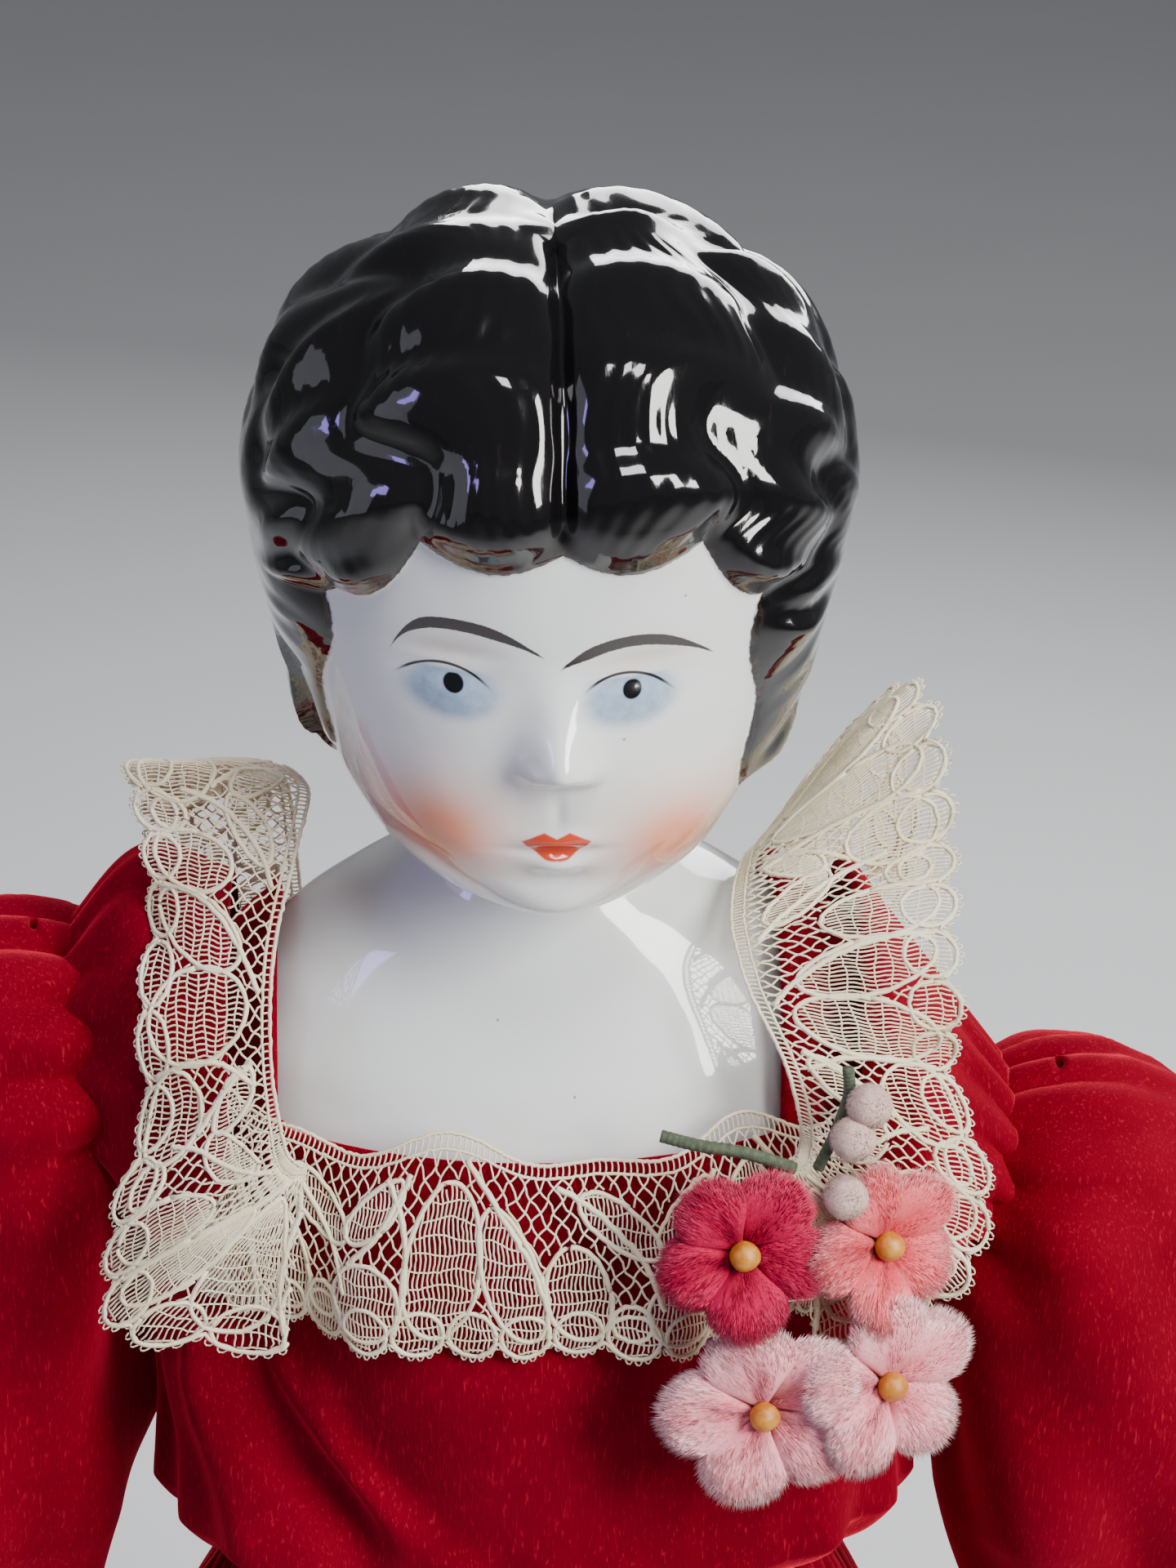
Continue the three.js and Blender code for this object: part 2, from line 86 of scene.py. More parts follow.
def make_camera():
    pitch, azimuth, roll = (math.radians(v) for v in (CAMERA_PITCH, CAMERA_AZIMUTH, CAMERA_ROLL))
    forward = Vector((
        -math.sin(azimuth) * math.cos(pitch), math.cos(azimuth) * math.cos(pitch), -math.sin(pitch),
    ))
    flat_right = Vector((math.cos(azimuth), math.sin(azimuth), 0))
    flat_up = flat_right.cross(forward)
    right = math.cos(roll) * flat_right - math.sin(roll) * flat_up
    up = math.sin(roll) * flat_right + math.cos(roll) * flat_up
    data = bpy.data.cameras.new("camera")
    data.lens = CAMERA_LENS
    data.sensor_width = 36
    camera = bpy.data.objects.new("camera", data)
    turn = Matrix((right, up, -forward)).transposed()
    camera.matrix_world = Matrix.Translation(Vector(CAMERA_PLACE) * MM) @ turn.to_4x4()
    bpy.context.scene.collection.objects.link(camera)
    bpy.context.scene.camera = camera


def area_light(name, place, aim, size, power, color=(1, 1, 1)):
    """A rectangular soft light. place and aim are in millimetres."""
    data = bpy.data.lights.new(name, "AREA")
    data.shape = "RECTANGLE"
    data.size, data.size_y = size
    data.energy = power
    data.color = color
    light = bpy.data.objects.new(name, data)
    light.location = Vector(place) * MM
    light.rotation_euler = (Vector(aim) - Vector(place)).to_track_quat("-Z", "Y").to_euler()
    bpy.context.scene.collection.objects.link(light)


def make_lights():
    chest = (0, 0, 400)
    area_light("key_window", (640, -540, 880), chest, (0.36, 0.56), 19, (1.0, 0.985, 0.955))
    area_light("second_window", (60, -330, 1250), chest, (0.26, 0.30), 5.0, (0.98, 0.985, 1.0))
    area_light("left_fill", (-760, -260, 640), chest, (0.5, 0.7), 1.1, (0.86, 0.88, 1.0))
    area_light("violet_lamp", (-560, -330, 800), chest, (0.12, 0.22), 0.9, (0.36, 0.26, 1.0))
    area_light("back_rim", (250, 800, 700), chest, (0.7, 0.5), 8.0)
    world = bpy.data.worlds.new("studio")
    world.use_nodes = True
    world.node_tree.nodes["Background"].inputs["Color"].default_value = (0.74, 0.77, 0.82, 1)
    world.node_tree.nodes["Background"].inputs["Strength"].default_value = 0.17
    bpy.context.scene.world = world


# ---------------------------------------------------------------- mesh helpers

def make_mesh(name, points, faces, material):
    """An object from points in millimetres and lists of corner numbers."""
    mesh = bpy.data.meshes.new(name)
    mesh.from_pydata((np.asarray(points) * MM).tolist(), [], [list(map(int, f)) for f in faces])
    mesh.validate()
    mesh.polygons.foreach_set("use_smooth", [True] * len(mesh.polygons))
    mesh.materials.append(material)
    piece = bpy.data.objects.new(name, mesh)
    bpy.context.scene.collection.objects.link(piece)
    return piece


def grid_faces(rows, columns):
    """The quads of a grid of points laid out ring after ring, each ring closed."""
    i, j = (g.ravel() for g in np.meshgrid(np.arange(rows - 1), np.arange(columns), indexing="ij"))
    i2, j2 = i + 1, (j + 1) % columns
    return np.stack([i * columns + j, i * columns + j2, i2 * columns + j2, i2 * columns + j], axis=1)


def closed_faces(rows, columns, first=0):
    """The quads of such a grid and a cap on each end. first is the number of its first point."""
    faces = (grid_faces(rows, columns) + first).tolist()
    faces.append([first + k for k in reversed(range(columns))])
    faces.append([first + (rows - 1) * columns + k for k in range(columns)])
    return faces


def joined_grids(grids):
    """Points and faces of several closed grids, one after the other."""
    points, faces, count = [], [], 0
    for grid in grids:
        rows, columns = grid.shape[:2]
        points.append(grid.reshape(-1, 3))
        faces += closed_faces(rows, columns, count)
        count += rows * columns
    return np.concatenate(points), faces


def grid_mesh(name, grid, material):
    return make_mesh(name, grid.reshape(-1, 3), grid_faces(*grid.shape[:2]), material)


def around(count):
    """Angles spread evenly over a full turn, as a row."""
    return np.linspace(-math.pi, math.pi, count, endpoint=False)[None, :]


def spread(profile, count):
    """The columns of a profile of points, resampled at even steps along its length."""
    steps = np.hypot(np.diff(profile[:, 0]), np.diff(profile[:, 1]))
    reach = np.concatenate([[0], np.cumsum(steps)]) / steps.sum()
    t = np.linspace(0, 1, count)
    return (np.interp(t, reach, profile[:, k])[:, None] for k in (0, 1))


def add_modifier(piece, kind, **settings):
    modifier = piece.modifiers.new(kind.lower(), kind)
    for key, value in settings.items():
        setattr(modifier, key, value)
    return piece


def apply_modifiers(piece):
    """Bakes the modifiers into the piece's own mesh."""
    bpy.context.view_layer.update()
    evaluated = piece.evaluated_get(bpy.context.evaluated_depsgraph_get())
    piece.data = bpy.data.meshes.new_from_object(evaluated)
    piece.modifiers.clear()
    return piece


def thicken(piece, thickness):
    """Gives a sheet its thickness in millimetres, inwards."""
    add_modifier(piece, "SOLIDIFY", thickness=thickness * MM, offset=-1)
    return apply_modifiers(piece)


def smoothstep(low, high, value):
    t = np.clip((value - low) / (high - low), 0, 1)
    return t * t * (3 - 2 * t)


def bump(x, z, cx, cz, wide, tall):
    """A soft round hill in the front view."""
    return np.exp(-(((x - cx) / wide) ** 2) - ((z - cz) / tall) ** 2)


def unit(v):
    v = np.asarray(v, float)
    return v / np.maximum(np.linalg.norm(v, axis=-1, keepdims=True), 1e-9)


def tube_points(path, radius, sides):
    """Rings of points along a path, each at right angles to it. radius may differ along the path."""
    path = np.asarray(path, float)
    tangent = unit(np.gradient(path, axis=0))
    guide = np.array([0.13, 0.31, 0.94]) if abs(tangent[0][2]) < 0.9 else np.array([0.95, 0.2, 0.1])
    side = unit(np.cross(tangent, guide))
    up = np.cross(side, tangent)
    angle = np.arange(sides) * 2 * math.pi / sides
    radius = np.broadcast_to(np.asarray(radius, float), (len(path),))
    ring = np.cos(angle)[None, :, None] * side[:, None, :] + np.sin(angle)[None, :, None] * up[:, None, :]
    return path[:, None, :] + ring * radius[:, None, None]


def tubes_mesh(name, paths, radii, material, sides=4):
    """Many round threads in one mesh, each closed at its ends."""
    rings = [tube_points(path, radius, sides) for path, radius in zip(paths, radii)]
    return make_mesh(name, *joined_grids(rings), material)


def finish_piece(piece, body, slot, *nodes):
    """The piece rides on a body and stands for CAD nodes, which it hides. slot is not used."""
    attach(piece, body)
    if nodes:
        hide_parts(*nodes)
    return piece


# ---------------------------------------------------------------- materials

class Field:
    """A value worked out at each point by math nodes. tree is the material being built."""
    tree = None

    def __init__(self, source):
        self.source = source

    @staticmethod
    def node(kind, **inputs):
        made = Field.tree.nodes.new(kind)
        for key, value in inputs.items():
            Field.plug(made.inputs[key.replace("_", " ")], value)
        return made

    @staticmethod
    def plug(socket, value):
        value = value.source if isinstance(value, Field) else value
        if isinstance(value, bpy.types.NodeSocket):
            Field.tree.links.new(value, socket)
        else:
            socket.default_value = value

    @staticmethod
    def math(operation, *values, clamp=False):
        made = Field.tree.nodes.new("ShaderNodeMath")
        made.operation = operation
        made.use_clamp = clamp
        for socket, value in zip(made.inputs, values):
            Field.plug(socket, value)
        return Field(made.outputs[0])

    def __add__(self, other):
        return Field.math("ADD", self, other)

    def __sub__(self, other):
        return Field.math("SUBTRACT", self, other)

    def __rsub__(self, other):
        return Field.math("SUBTRACT", other, self)

    def __mul__(self, other):
        return Field.math("MULTIPLY", self, other)

    def __truediv__(self, other):
        return Field.math("DIVIDE", self, other)

    def __neg__(self):
        return Field.math("MULTIPLY", self, -1.0)

    __radd__ = __add__
    __rmul__ = __mul__


def f_abs(value):
    return Field.math("ABSOLUTE", value)


def f_min(a, b):
    return Field.math("MINIMUM", a, b)


def f_max(a, b):
    return Field.math("MAXIMUM", a, b)


def f_sin(value):
    return Field.math("SINE", value)


def f_step(low, high, value):
    """0 below low and 1 above high, smooth in between. low may be above high."""
    made = Field.node("ShaderNodeMapRange", Value=value)
    made.interpolation_type = "SMOOTHSTEP"
    made.clamp = True
    for key, number in (("From Min", low), ("From Max", high), ("To Min", 0.0), ("To Max", 1.0)):
        made.inputs[key].default_value = number
    return Field(made.outputs["Result"])


def f_glow(x, z, cx, cz, wide, tall):
    """A soft round patch, 1 in its middle."""
    u = (x - cx) / wide
    w = (z - cz) / tall
    return Field.math("EXPONENT", -(u * u + w * w))


def f_noise(place, scale, detail=3.0, roughness=0.55, distortion=0.0):
    made = Field.node("ShaderNodeTexNoise", Vector=place, Scale=scale, Detail=detail, Roughness=roughness,
                      Distortion=distortion)
    return Field(made.outputs[0])


def f_scaled(place, x, y, z):
    made = Field.tree.nodes.new("ShaderNodeMapping")
    Field.plug(made.inputs["Vector"], place)
    made.inputs["Scale"].default_value = (x, y, z)
    return Field(made.outputs[0])


def f_mix(amount, a, b):
    """Colour a where amount is 0 and colour b where it is 1."""
    made = Field.tree.nodes.new("ShaderNodeMix")
    made.data_type = "RGBA"
    colours = [s for s in made.inputs if s.type == "RGBA"]
    Field.plug(made.inputs[0], amount)
    for socket, colour in zip(colours, (a, b)):
        Field.plug(socket, (*colour, 1) if isinstance(colour, tuple) else colour)
    return Field(next(s for s in made.outputs if s.type == "RGBA"))


def f_mix_value(amount, a, b):
    return amount * (b - a) + a


class Surface:
    """A new material: .place and .x, .y, .z hold the point in millimetres."""

    def __init__(self, name):
        self.material = bpy.data.materials.new(name)
        self.material.use_nodes = True
        Field.tree = self.material.node_tree
        self.shader = self.material.node_tree.nodes["Principled BSDF"]
        coordinates = Field.tree.nodes.new("ShaderNodeTexCoord")
        scale = Field.tree.nodes.new("ShaderNodeVectorMath")
        scale.operation = "SCALE"
        Field.plug(scale.inputs[0], coordinates.outputs["Object"])
        scale.inputs["Scale"].default_value = 1 / MM
        self.place = Field(scale.outputs[0])
        split = Field.node("ShaderNodeSeparateXYZ", Vector=self.place)
        self.x, self.y, self.z = (Field(s) for s in split.outputs)

    def set(self, **inputs):
        for key, value in inputs.items():
            value = (*value, 1) if isinstance(value, tuple) and len(value) == 3 else value
            Field.plug(self.shader.inputs[key.replace("_", " ")], value)
        return self

    def relief(self, height, distance, strength=1.0):
        """Bump from a height of 0 to 1, distance in millimetres."""
        made = Field.node("ShaderNodeBump", Height=height, Strength=strength)
        made.inputs["Distance"].default_value = distance * MM
        Field.plug(self.shader.inputs["Normal"], made.outputs[0])
        return self


# ---------------------------------------------------------------- the china head

# Oval sections of the head and plate: height, half width, half depth, the middle's y.
HEAD_SECTIONS = np.array([
    (474.8, 4, 4, 3), (473.4, 14, 14, 3), (470.2, 22, 22.5, 3), (464.2, 28.6, 28.5, 3), (457, 32.6, 32, 2.8),
    (448, 34.6, 33.4, 2.5), (438, 33.2, 33.2, 2), (428, 30.6, 33, 1.2), (420, 28.6, 32.6, 0.6),
    (413, 26.6, 32, 0.2), (407, 23.4, 30.4, -0.2), (403, 19.4, 28, -0.4), (400.4, 15.6, 23.6, 0),
    (398.8, 13.8, 17.5, 1), (396.5, 13.4, 14.2, 3), (393.6, 17.5, 14.6, 3), (390.4, 24.5, 16, 2.5),
    (386, 31.5, 18.2, 2), (380, 37.5, 21, 1.5), (372, 42, 24.4, 0.5), (362, 44.6, 27.4, 0),
    (350, 46, 29.8, -1), (RIM_Z, 47, 31, -1),
])
CHINA_WALL = 3.0
FACE_CROWDING = 0.55  # how much closer the grid's columns stand over the face
FACE_SHIFT = 1.8  # how far the face's middle lies to her right
# Places and radii of the dark specks left by the kiln, and the places of the pupils.
KILN_SPECKS = (
    (-17.5, 396.5, 0.18), (7.5, 427.4, 0.16), (-6.2, 381.0, 0.15), (14.2, 444.4, 0.14), (3.4, 372.5, 0.16),
)
PUPILS = ((-12.2, 433.8), (8.3, 433.6))


def smooth_rows(table, sigma, count=2400):
    """The sections, resampled evenly along the profile and rounded off."""
    steps = np.hypot(np.diff(table[:, 0]), np.diff(table[:, 1]))
    along = np.concatenate([[0], np.cumsum(steps)])
    dense = np.linspace(0, along[-1], count)
    width = sigma / (along[-1] / count)
    reach = int(width * 3)
    kernel = np.exp(-0.5 * (np.arange(-reach, reach + 1) / width) ** 2)
    kernel /= kernel.sum()
    columns = []
    for k in range(4):
        values = np.interp(dense, along, table[:, k])
        slope_low, slope_high = values[1] - values[0], values[-1] - values[-2]
        head = values[0] - slope_low * np.arange(reach, 0, -1)
        tail = values[-1] + slope_high * np.arange(1, reach + 1)
        columns.append(np.convolve(np.concatenate([head, values, tail]), kernel, "valid"))
    return np.stack(columns, axis=1)


def hairline(x, absolute=np.abs, sine=np.sin, least=np.minimum, most=np.maximum):
    """Height of the scalloped fringe over the forehead. Works on numbers and on node fields."""
    far = absolute(x)
    first = sine(least(far, 16.0) * (math.pi / 16)) * 2.6
    beyond = most(far - 16.0, 0.0)
    second = sine(least(beyond, 9.5) * (math.pi / 9.5)) * 2.8
    return 450.6 - first - beyond * 0.95 - second


def face_edge(z, sine=np.sin):
    """Half width of the bare face at a height."""
    return 25.0 + sine((z - 402.0) * 0.33) * 0.7


def around_head(columns):
    """Angles round the head, closer together over the face."""
    turn = around(columns)
    return -math.pi / 2 + turn - FACE_CROWDING * np.sin(turn)


def head_surface():
    """The outer grid of head and plate, still bare and smooth, and the directions out of it."""
    dense = smooth_rows(HEAD_SECTIONS, 1.5)
    z = dense[:, 0]
    density = np.where((z > 399) & (z < 453), 2.1, np.where(z >= 453, 1.15, 0.55))
    order = np.cumsum(density)
    row_at = np.interp(np.linspace(order[0], order[-1], 270), order, np.arange(len(z)))
    rows = np.stack([np.interp(row_at, np.arange(len(z)), dense[:, k]) for k in range(4)], axis=1)
    angle = around_head(300)
    z, a, b, middle = (rows[:, k][:, None] for k in range(4))
    x = a * np.cos(angle)
    y = middle + b * np.sin(angle)
    z = np.broadcast_to(z, x.shape).copy()
    points = np.stack([x, y, z], axis=2)
    normals = unit(np.cross(np.gradient(points, axis=1), np.gradient(points, axis=0)))
    outward = np.stack([x, y - 2, (z - 436) * (z > 405)], axis=2)
    normals *= np.sign((normals * outward).sum(axis=2, keepdims=True) + 1e-9)
    return points, normals


def hair_depth(x, y, z):
    """How far a point lies inside the hair, in millimetres, negative on bare china."""
    over_face = np.maximum(z - hairline(x), np.abs(x + FACE_SHIFT) - face_edge(z))
    nape = 413 - 0.2 * (y + 12)
    low = z - np.where(y > -16, nape, 403.0)
    depth = np.where(y < -4, over_face, 9.0)
    return np.minimum(depth, low)


LOBE_EDGES = np.array([0, 31, 60, 88, 118, 150, 180.0])
LOBE_HEIGHTS = np.array([3.0, 2.5, 2.4, 2.2, 1.8, 1.2])


def hair_relief(x, y, z):
    """Height of the molded waves over the skull. Locks run back from the brow, crossed by ripples."""
    side = np.where(x > 0, 1.0, -1.0)
    forward = np.degrees(np.arctan2(2 - y, z - 437))
    run = forward * 0.62
    turn = np.degrees(np.arctan2(np.abs(x), z - 425)) * (1 + 0.34 * smoothstep(-32, 2, y))
    swing = 5.5 * np.sin(run / 3.9 + 0.9 * side) + 3.0 * np.sin(run / 2.1 + 1.7 * side)
    turn = np.clip(turn + swing * smoothstep(4, 16, np.abs(x)), 0, 179.9)
    lobe = np.clip(np.searchsorted(LOBE_EDGES, turn, side="right") - 1, 0, 5)
    share = (turn - LOBE_EDGES[lobe]) / (LOBE_EDGES[lobe + 1] - LOBE_EDGES[lobe])
    crown = 1 - (2 * share - 1) ** 2
    lock = 0.35 * np.sqrt(crown) + 0.65 * crown
    phase = run / 1.8 + lobe * 0.5 + side * 0.5 + 0.9 * np.sin(share * 2.6 + lobe)
    ripple = np.sin(phase + 0.5 * np.sin(phase)) * (0.8 + 0.35 * np.sin(run / 5.3 + 2 * side + lobe))
    clear_of_ear = smoothstep(7, 24, np.hypot(y - 2, z - 437))
    relief = LOBE_HEIGHTS[lobe] * lock + 0.95 * ripple * (0.25 + 0.75 * lock)
    relief = softened(relief * clear_of_ear + 1.4 * (1 - clear_of_ear), 5)
    strands = 0.05 * np.sin(turn * 1.7 + 1.6 * np.sin(run / 2)) * clear_of_ear
    return relief + strands + 0.4


def softened(values, passes):
    """Averages a wrapped grid of heights with its neighbours."""
    for _ in range(passes):
        values = (np.roll(values, 1, 1) + 2 * values + np.roll(values, -1, 1)) / 4
        ends = np.pad(values, ((1, 1), (0, 0)), mode="edge")
        values = (ends[:-2] + 2 * ends[1:-1] + ends[2:]) / 4
    return values


def face_relief(x, z):
    """How far the face stands forward of its oval."""
    bridge = np.exp(-((x / 3.7) ** 2)) * smoothstep(438, 427.5, z) * smoothstep(421.6, 425.2, z) * 2.7
    tip = bump(x, z, 0, 425.6, 3.4, 2.9) * 2.6
    wings = (bump(x, z, -3.3, 424, 1.8, 1.8) + bump(x, z, 3.3, 424, 1.8, 1.8)) * 1.5
    sockets = -(bump(x, z, -11.6, 434.6, 6.5, 4.2) + bump(x, z, 9.6, 434.4, 6.5, 4.2)) * 1.5
    balls = (bump(x, z, -12.2, 433, 4.3, 2.8) + bump(x, z, 8.8, 432.8, 4.3, 2.8)) * 1.3
    lids = (bump(x, z, -12.6, 436.2, 5, 0.9) + bump(x, z, 9, 436, 5, 0.9)) * 0.35
    upper_lip = bump(x, z, 0, 414.9, 4.0, 1.2)
    lower_lip = bump(x, z, 0, 411.3, 3.0, 1.2) * 1.2
    parting = -bump(x, z, 0, 413.1, 4.6, 0.55) * 0.7
    groove = -bump(x, z, 0, 418.2, 0.9, 2.2) * 0.35
    under_lip = -bump(x, z, 0, 408.4, 5, 1.6) * 0.7
    chin = bump(x, z, 0, 403.4, 6.5, 3.4) * 1.6
    cheeks = (bump(x, z, -14.5, 414, 7.5, 7.5) + bump(x, z, 14.5, 414, 7.5, 7.5)) * 1.7
    return (bridge + tip + wings + sockets + balls + lids + upper_lip + lower_lip + parting + groove
            + under_lip + chin + cheeks)


def f_round(x, z, px, pz, radius, soft_out, soft_in):
    """A painted dot, 1 inside, with a soft edge."""
    dx, dz = x - px, z - pz
    return f_step(radius + soft_out, radius - soft_in, Field.math("SQRT", dx * dx + dz * dz))


def painted_hair(s, front, strand_place):
    """The mask of the hair, soft at its edge, and its colour."""
    line = hairline(s.x, f_abs, f_sin, f_min, f_max)
    over_face = f_max(s.z - line, f_abs(s.x + FACE_SHIFT) - face_edge(s.z, f_sin))
    wobble = (f_noise(s.place, 0.9, 2.0) - 0.5) * 0.7
    nape = 413.0 - (s.y + 12.0) * 0.2
    low = s.z - (nape + f_step(-14.0, -17.0, s.y) * (403.0 - nape))
    depth = f_min(f_max(over_face, (1.0 - front) * 60.0 - 40.0), low) + wobble
    strands = f_noise(strand_place, 0.9, 4.0, 0.7, 0.6)
    edge_brown = f_step(1.8, 0.0, depth) * f_step(0.45, 0.62, strands)
    black = f_mix(edge_brown * 0.75, (0.0035, 0.003, 0.0035), (0.06, 0.036, 0.022))
    black = f_mix(f_step(0.62, 0.72, strands) * 0.35, black, (0.02, 0.013, 0.01))
    return f_step(-0.16, 0.16, depth), black


def china_white(s):
    return f_mix(f_noise(s.place, 0.06, 2.0), (0.64, 0.665, 0.655), (0.715, 0.735, 0.715))


def painted_cheeks_and_lid_shade(s, skin, front):
    x, z = s.x, s.z
    blush = (f_glow(x, z, -13.6, 414.4, 7.6, 6.4) + f_glow(x, z, 14.0, 413.0, 7.4, 6.2)) * front
    skin = f_mix(f_min(blush, 0.92), skin, (0.70, 0.215, 0.10))
    # Painted shade: a tan darkening over each upper eyelid, under the brow.
    painted_lid_shade = (f_glow(x, z, -12.9, 438.0, 5.0, 1.2) + f_glow(x, z, 9.5, 437.2, 5.0, 1.1)) * front
    return f_mix(f_min(painted_lid_shade * 0.55, 0.6), skin, (0.52, 0.40, 0.33))


def eyelid_lines(s):
    """Thin arcs over the eyes: the middle's x, the top's height, the bend, and the two ends."""
    paint = 0.0
    for cx, top, curve, low_x, high_x in ((-13.4, 436.0, 0.085, -5.4, 5.6), (7.4, 435.6, 0.085, -4.6, 6.0)):
        d = s.x - cx
        off = f_abs(s.z - (top - d * d * curve))
        span = f_step(low_x - 0.5, low_x + 1.5, d) * f_step(high_x + 0.5, high_x - 1.8, d)
        paint = f_max(paint, f_step(0.26, 0.12, off) * span)
    return paint


def brow_lines(s, paint):
    """Brows that swell and taper: the middle's x, the top's height, the bend, its hook, and the two ends."""
    brows = ((-12.3, 441.2, 0.030, 0.0013, -6.9, 10.2), (8.6, 439.6, 0.040, 0.0, -8.4, 9.2))
    for cx, top, curve, hook, low_x, high_x in brows:
        d = s.x - cx
        d2 = d * d
        bend = f_min(d, 0.0)
        height = top - d2 * curve - bend * bend * d2 * hook
        grow = f_step(low_x - 0.6, low_x + 3.4, d) * f_step(high_x + 0.6, high_x - 6.5, d)
        inside = f_step(low_x - 0.5, low_x + 0.4, d) * f_step(high_x + 0.5, high_x - 0.6, d)
        ragged = (f_noise(s.place, 3.0, 2.0) - 0.5) * 0.16
        off = f_abs(s.z - height) - (grow * 0.64 + 0.11) + ragged
        paint = f_max(paint, f_step(0.07, -0.07, off) * inside)
    return paint


def painted_eyes(s, skin, front):
    x, z = s.x, s.z
    cloud = f_noise(s.place, 0.8, 2.0) * 0.5 + 0.5
    for px, pz in PUPILS:
        iris = f_step(0.16, 0.62, f_glow(x, z, px - 0.2, pz - 1.0, 5.6, 3.6))
        iris = iris * f_step(pz + 1.9, pz + 1.2, z) * front
        skin = f_mix(f_min(iris * cloud, 0.85), skin, (0.17, 0.28, 0.44))
    skin = f_mix(brow_lines(s, eyelid_lines(s)) * front * 0.97, skin, (0.012, 0.006, 0.005))
    for (px, pz), radius in zip(PUPILS, (1.18, 1.12)):
        spot = f_round(x, z, px, pz, radius, 0.12, 0.12) * f_step(pz + 1.25, pz + 1.0, z)
        skin = f_mix(spot * front, skin, (0.004, 0.004, 0.005))
    return skin


def painted_mouth(s, skin, front):
    """A cupid's bow with a darker seam."""
    bow = f_abs(s.x + 0.1)
    upper = 415.9 - f_abs(bow - 1.5) * 0.42 - f_max(bow - 2.4, 0.0) * 0.12
    lower = 411.9 + bow * bow * 0.14 + f_abs(bow - 1.3) * 0.12
    lips = f_step(-0.14, 0.14, upper - s.z) * f_step(-0.14, 0.14, s.z - lower) * f_step(4.4, 3.9, bow)
    seam = f_step(0.35, 0.05, f_abs(s.z - 413.8)) * 0.45
    return f_mix(lips * front, skin, f_mix(seam, (0.53, 0.050, 0.018), (0.27, 0.015, 0.008)))


def china_hair_material():
    """White glaze with the hair, brows, eyes, mouth and cheeks painted under it, and painted shade over the
    eyelids.
    """
    s = Surface("painted_china")
    front = f_step(-2.0, -5.0, s.y)
    strand_place = f_scaled(s.place, 1.6, 0.25, 0.5)
    hair, black = painted_hair(s, front, strand_place)
    skin = painted_cheeks_and_lid_shade(s, china_white(s), front)
    skin = painted_eyes(s, skin, front)
    skin = painted_mouth(s, skin, front)
    for px, pz, size in KILN_SPECKS:
        speck = f_round(s.x, s.z, px, pz, size, 0.1, 0.08) * front
        skin = f_mix(speck * 0.7, skin, (0.10, 0.07, 0.05))
    s.set(Base_Color=f_mix(hair, skin, black), Roughness=f_mix_value(hair, 0.16, 0.12), Coat_Weight=1.0,
          Coat_Roughness=0.03, Subsurface_Weight=0.06, Subsurface_Scale=0.002, Specular_IOR_Level=0.2)
    ripple = f_noise(s.place, 0.11, 2.0) + f_noise(strand_place, 1.4, 3.0) * hair * 0.09
    s.relief(ripple, 0.5, 0.35)
    return s.material


def inner_wall(columns):
    """The inside of the hollow casting, from the rim up to the crown."""
    z, half_width, half_depth, middle = smooth_rows(HEAD_SECTIONS, 2.5, 600)[::-1][::12].T[:, :, None]
    angle = around_head(columns)
    x = np.maximum(half_width - CHINA_WALL, 1.0) * np.cos(angle)
    y = middle + np.maximum(half_depth - CHINA_WALL, 1.0) * np.sin(angle)
    drop = np.where(z > 470, CHINA_WALL, 0)
    return np.stack([x, y, np.broadcast_to(z - drop, x.shape)], axis=2)


def make_head():
    points, normals = head_surface()
    x, y, z = points[..., 0], points[..., 1], points[..., 2]
    depth = hair_depth(x, y, z)
    edge = np.clip(depth / 3.0, 0, 1)
    rise = np.sqrt(1 - (1 - edge) ** 2)
    part = np.exp(-((x / 1.3) ** 2)) * smoothstep(12, -2, y) * smoothstep(449, 454, z)
    relief = hair_relief(x, y, z)
    hair = rise * (1.2 + relief * smoothstep(0.0, 5.0, depth)) - part * 0.9 * edge
    hair = np.where(depth > 0, hair, 0)
    points = points + normals * hair[..., None]
    bare = smoothstep(0.6, -0.8, depth) * smoothstep(-3, -9, y) * smoothstep(397.5, 401, z)
    points[..., 1] -= face_relief(x, z) * bare
    columns = points.shape[1]
    wall = inner_wall(columns)
    grid = np.concatenate([points, wall])
    crown = points[0].mean(axis=0) + (0, 0, 0.15)
    ceiling = wall[-1].mean(axis=0)
    vertices = np.concatenate([grid.reshape(-1, 3), [crown, ceiling]])
    faces = grid_faces(*grid.shape[:2])[:, ::-1].tolist()
    crown_number = len(vertices) - 2
    ceiling_number = len(vertices) - 1
    last = (len(grid) - 1) * columns
    faces += [[crown_number, k, (k + 1) % columns] for k in range(columns)]
    faces += [[ceiling_number, last + (k + 1) % columns, last + k] for k in range(columns)]
    head = make_mesh("china_head", vertices, faces, china_hair_material())
    finish_piece(head, "torso", "china", "shoulder_head")


# ---------------------------------------------------------------- the dressed torso

# Oval sections of the plate and the stuffed body: height, half width, half depth, the middle's y.
TORSO_SECTIONS = np.array([
    (249, 33, 22, 0), (253, 38, 26, 0), (262, 42, 29, 0), (276, 37, 27, 0), (284, 35, 26, 0),
    (292, 42, 28, 0), (302, 48.2, 30.5, -1), (322, 48.6, 31.5, -1), (340, 47.5, 31, -1), (352, 46, 29.5, -1),
    (366, 44.5, 26.8, 0), (375, 42, 23.8, 1), (382, 37.4, 20.8, 1), (388, 30, 17.6, 2), (392, 24, 15.6, 3),
    (396, 17, 14, 3),
])


def torso_oval(z, table=TORSO_SECTIONS):
    return tuple(np.interp(z, table[:, 0], table[:, k]) for k in (1, 2, 3))


def oval_layer(oval, angle, z, offset):
    """Points on a layer over an oval, at an angle from the front towards the doll's left."""
    a, b, middle = oval
    return np.stack([
        (a + offset) * np.sin(angle), middle - (b + offset) * np.cos(angle), z + 0 * (angle + offset),
    ], axis=-1)


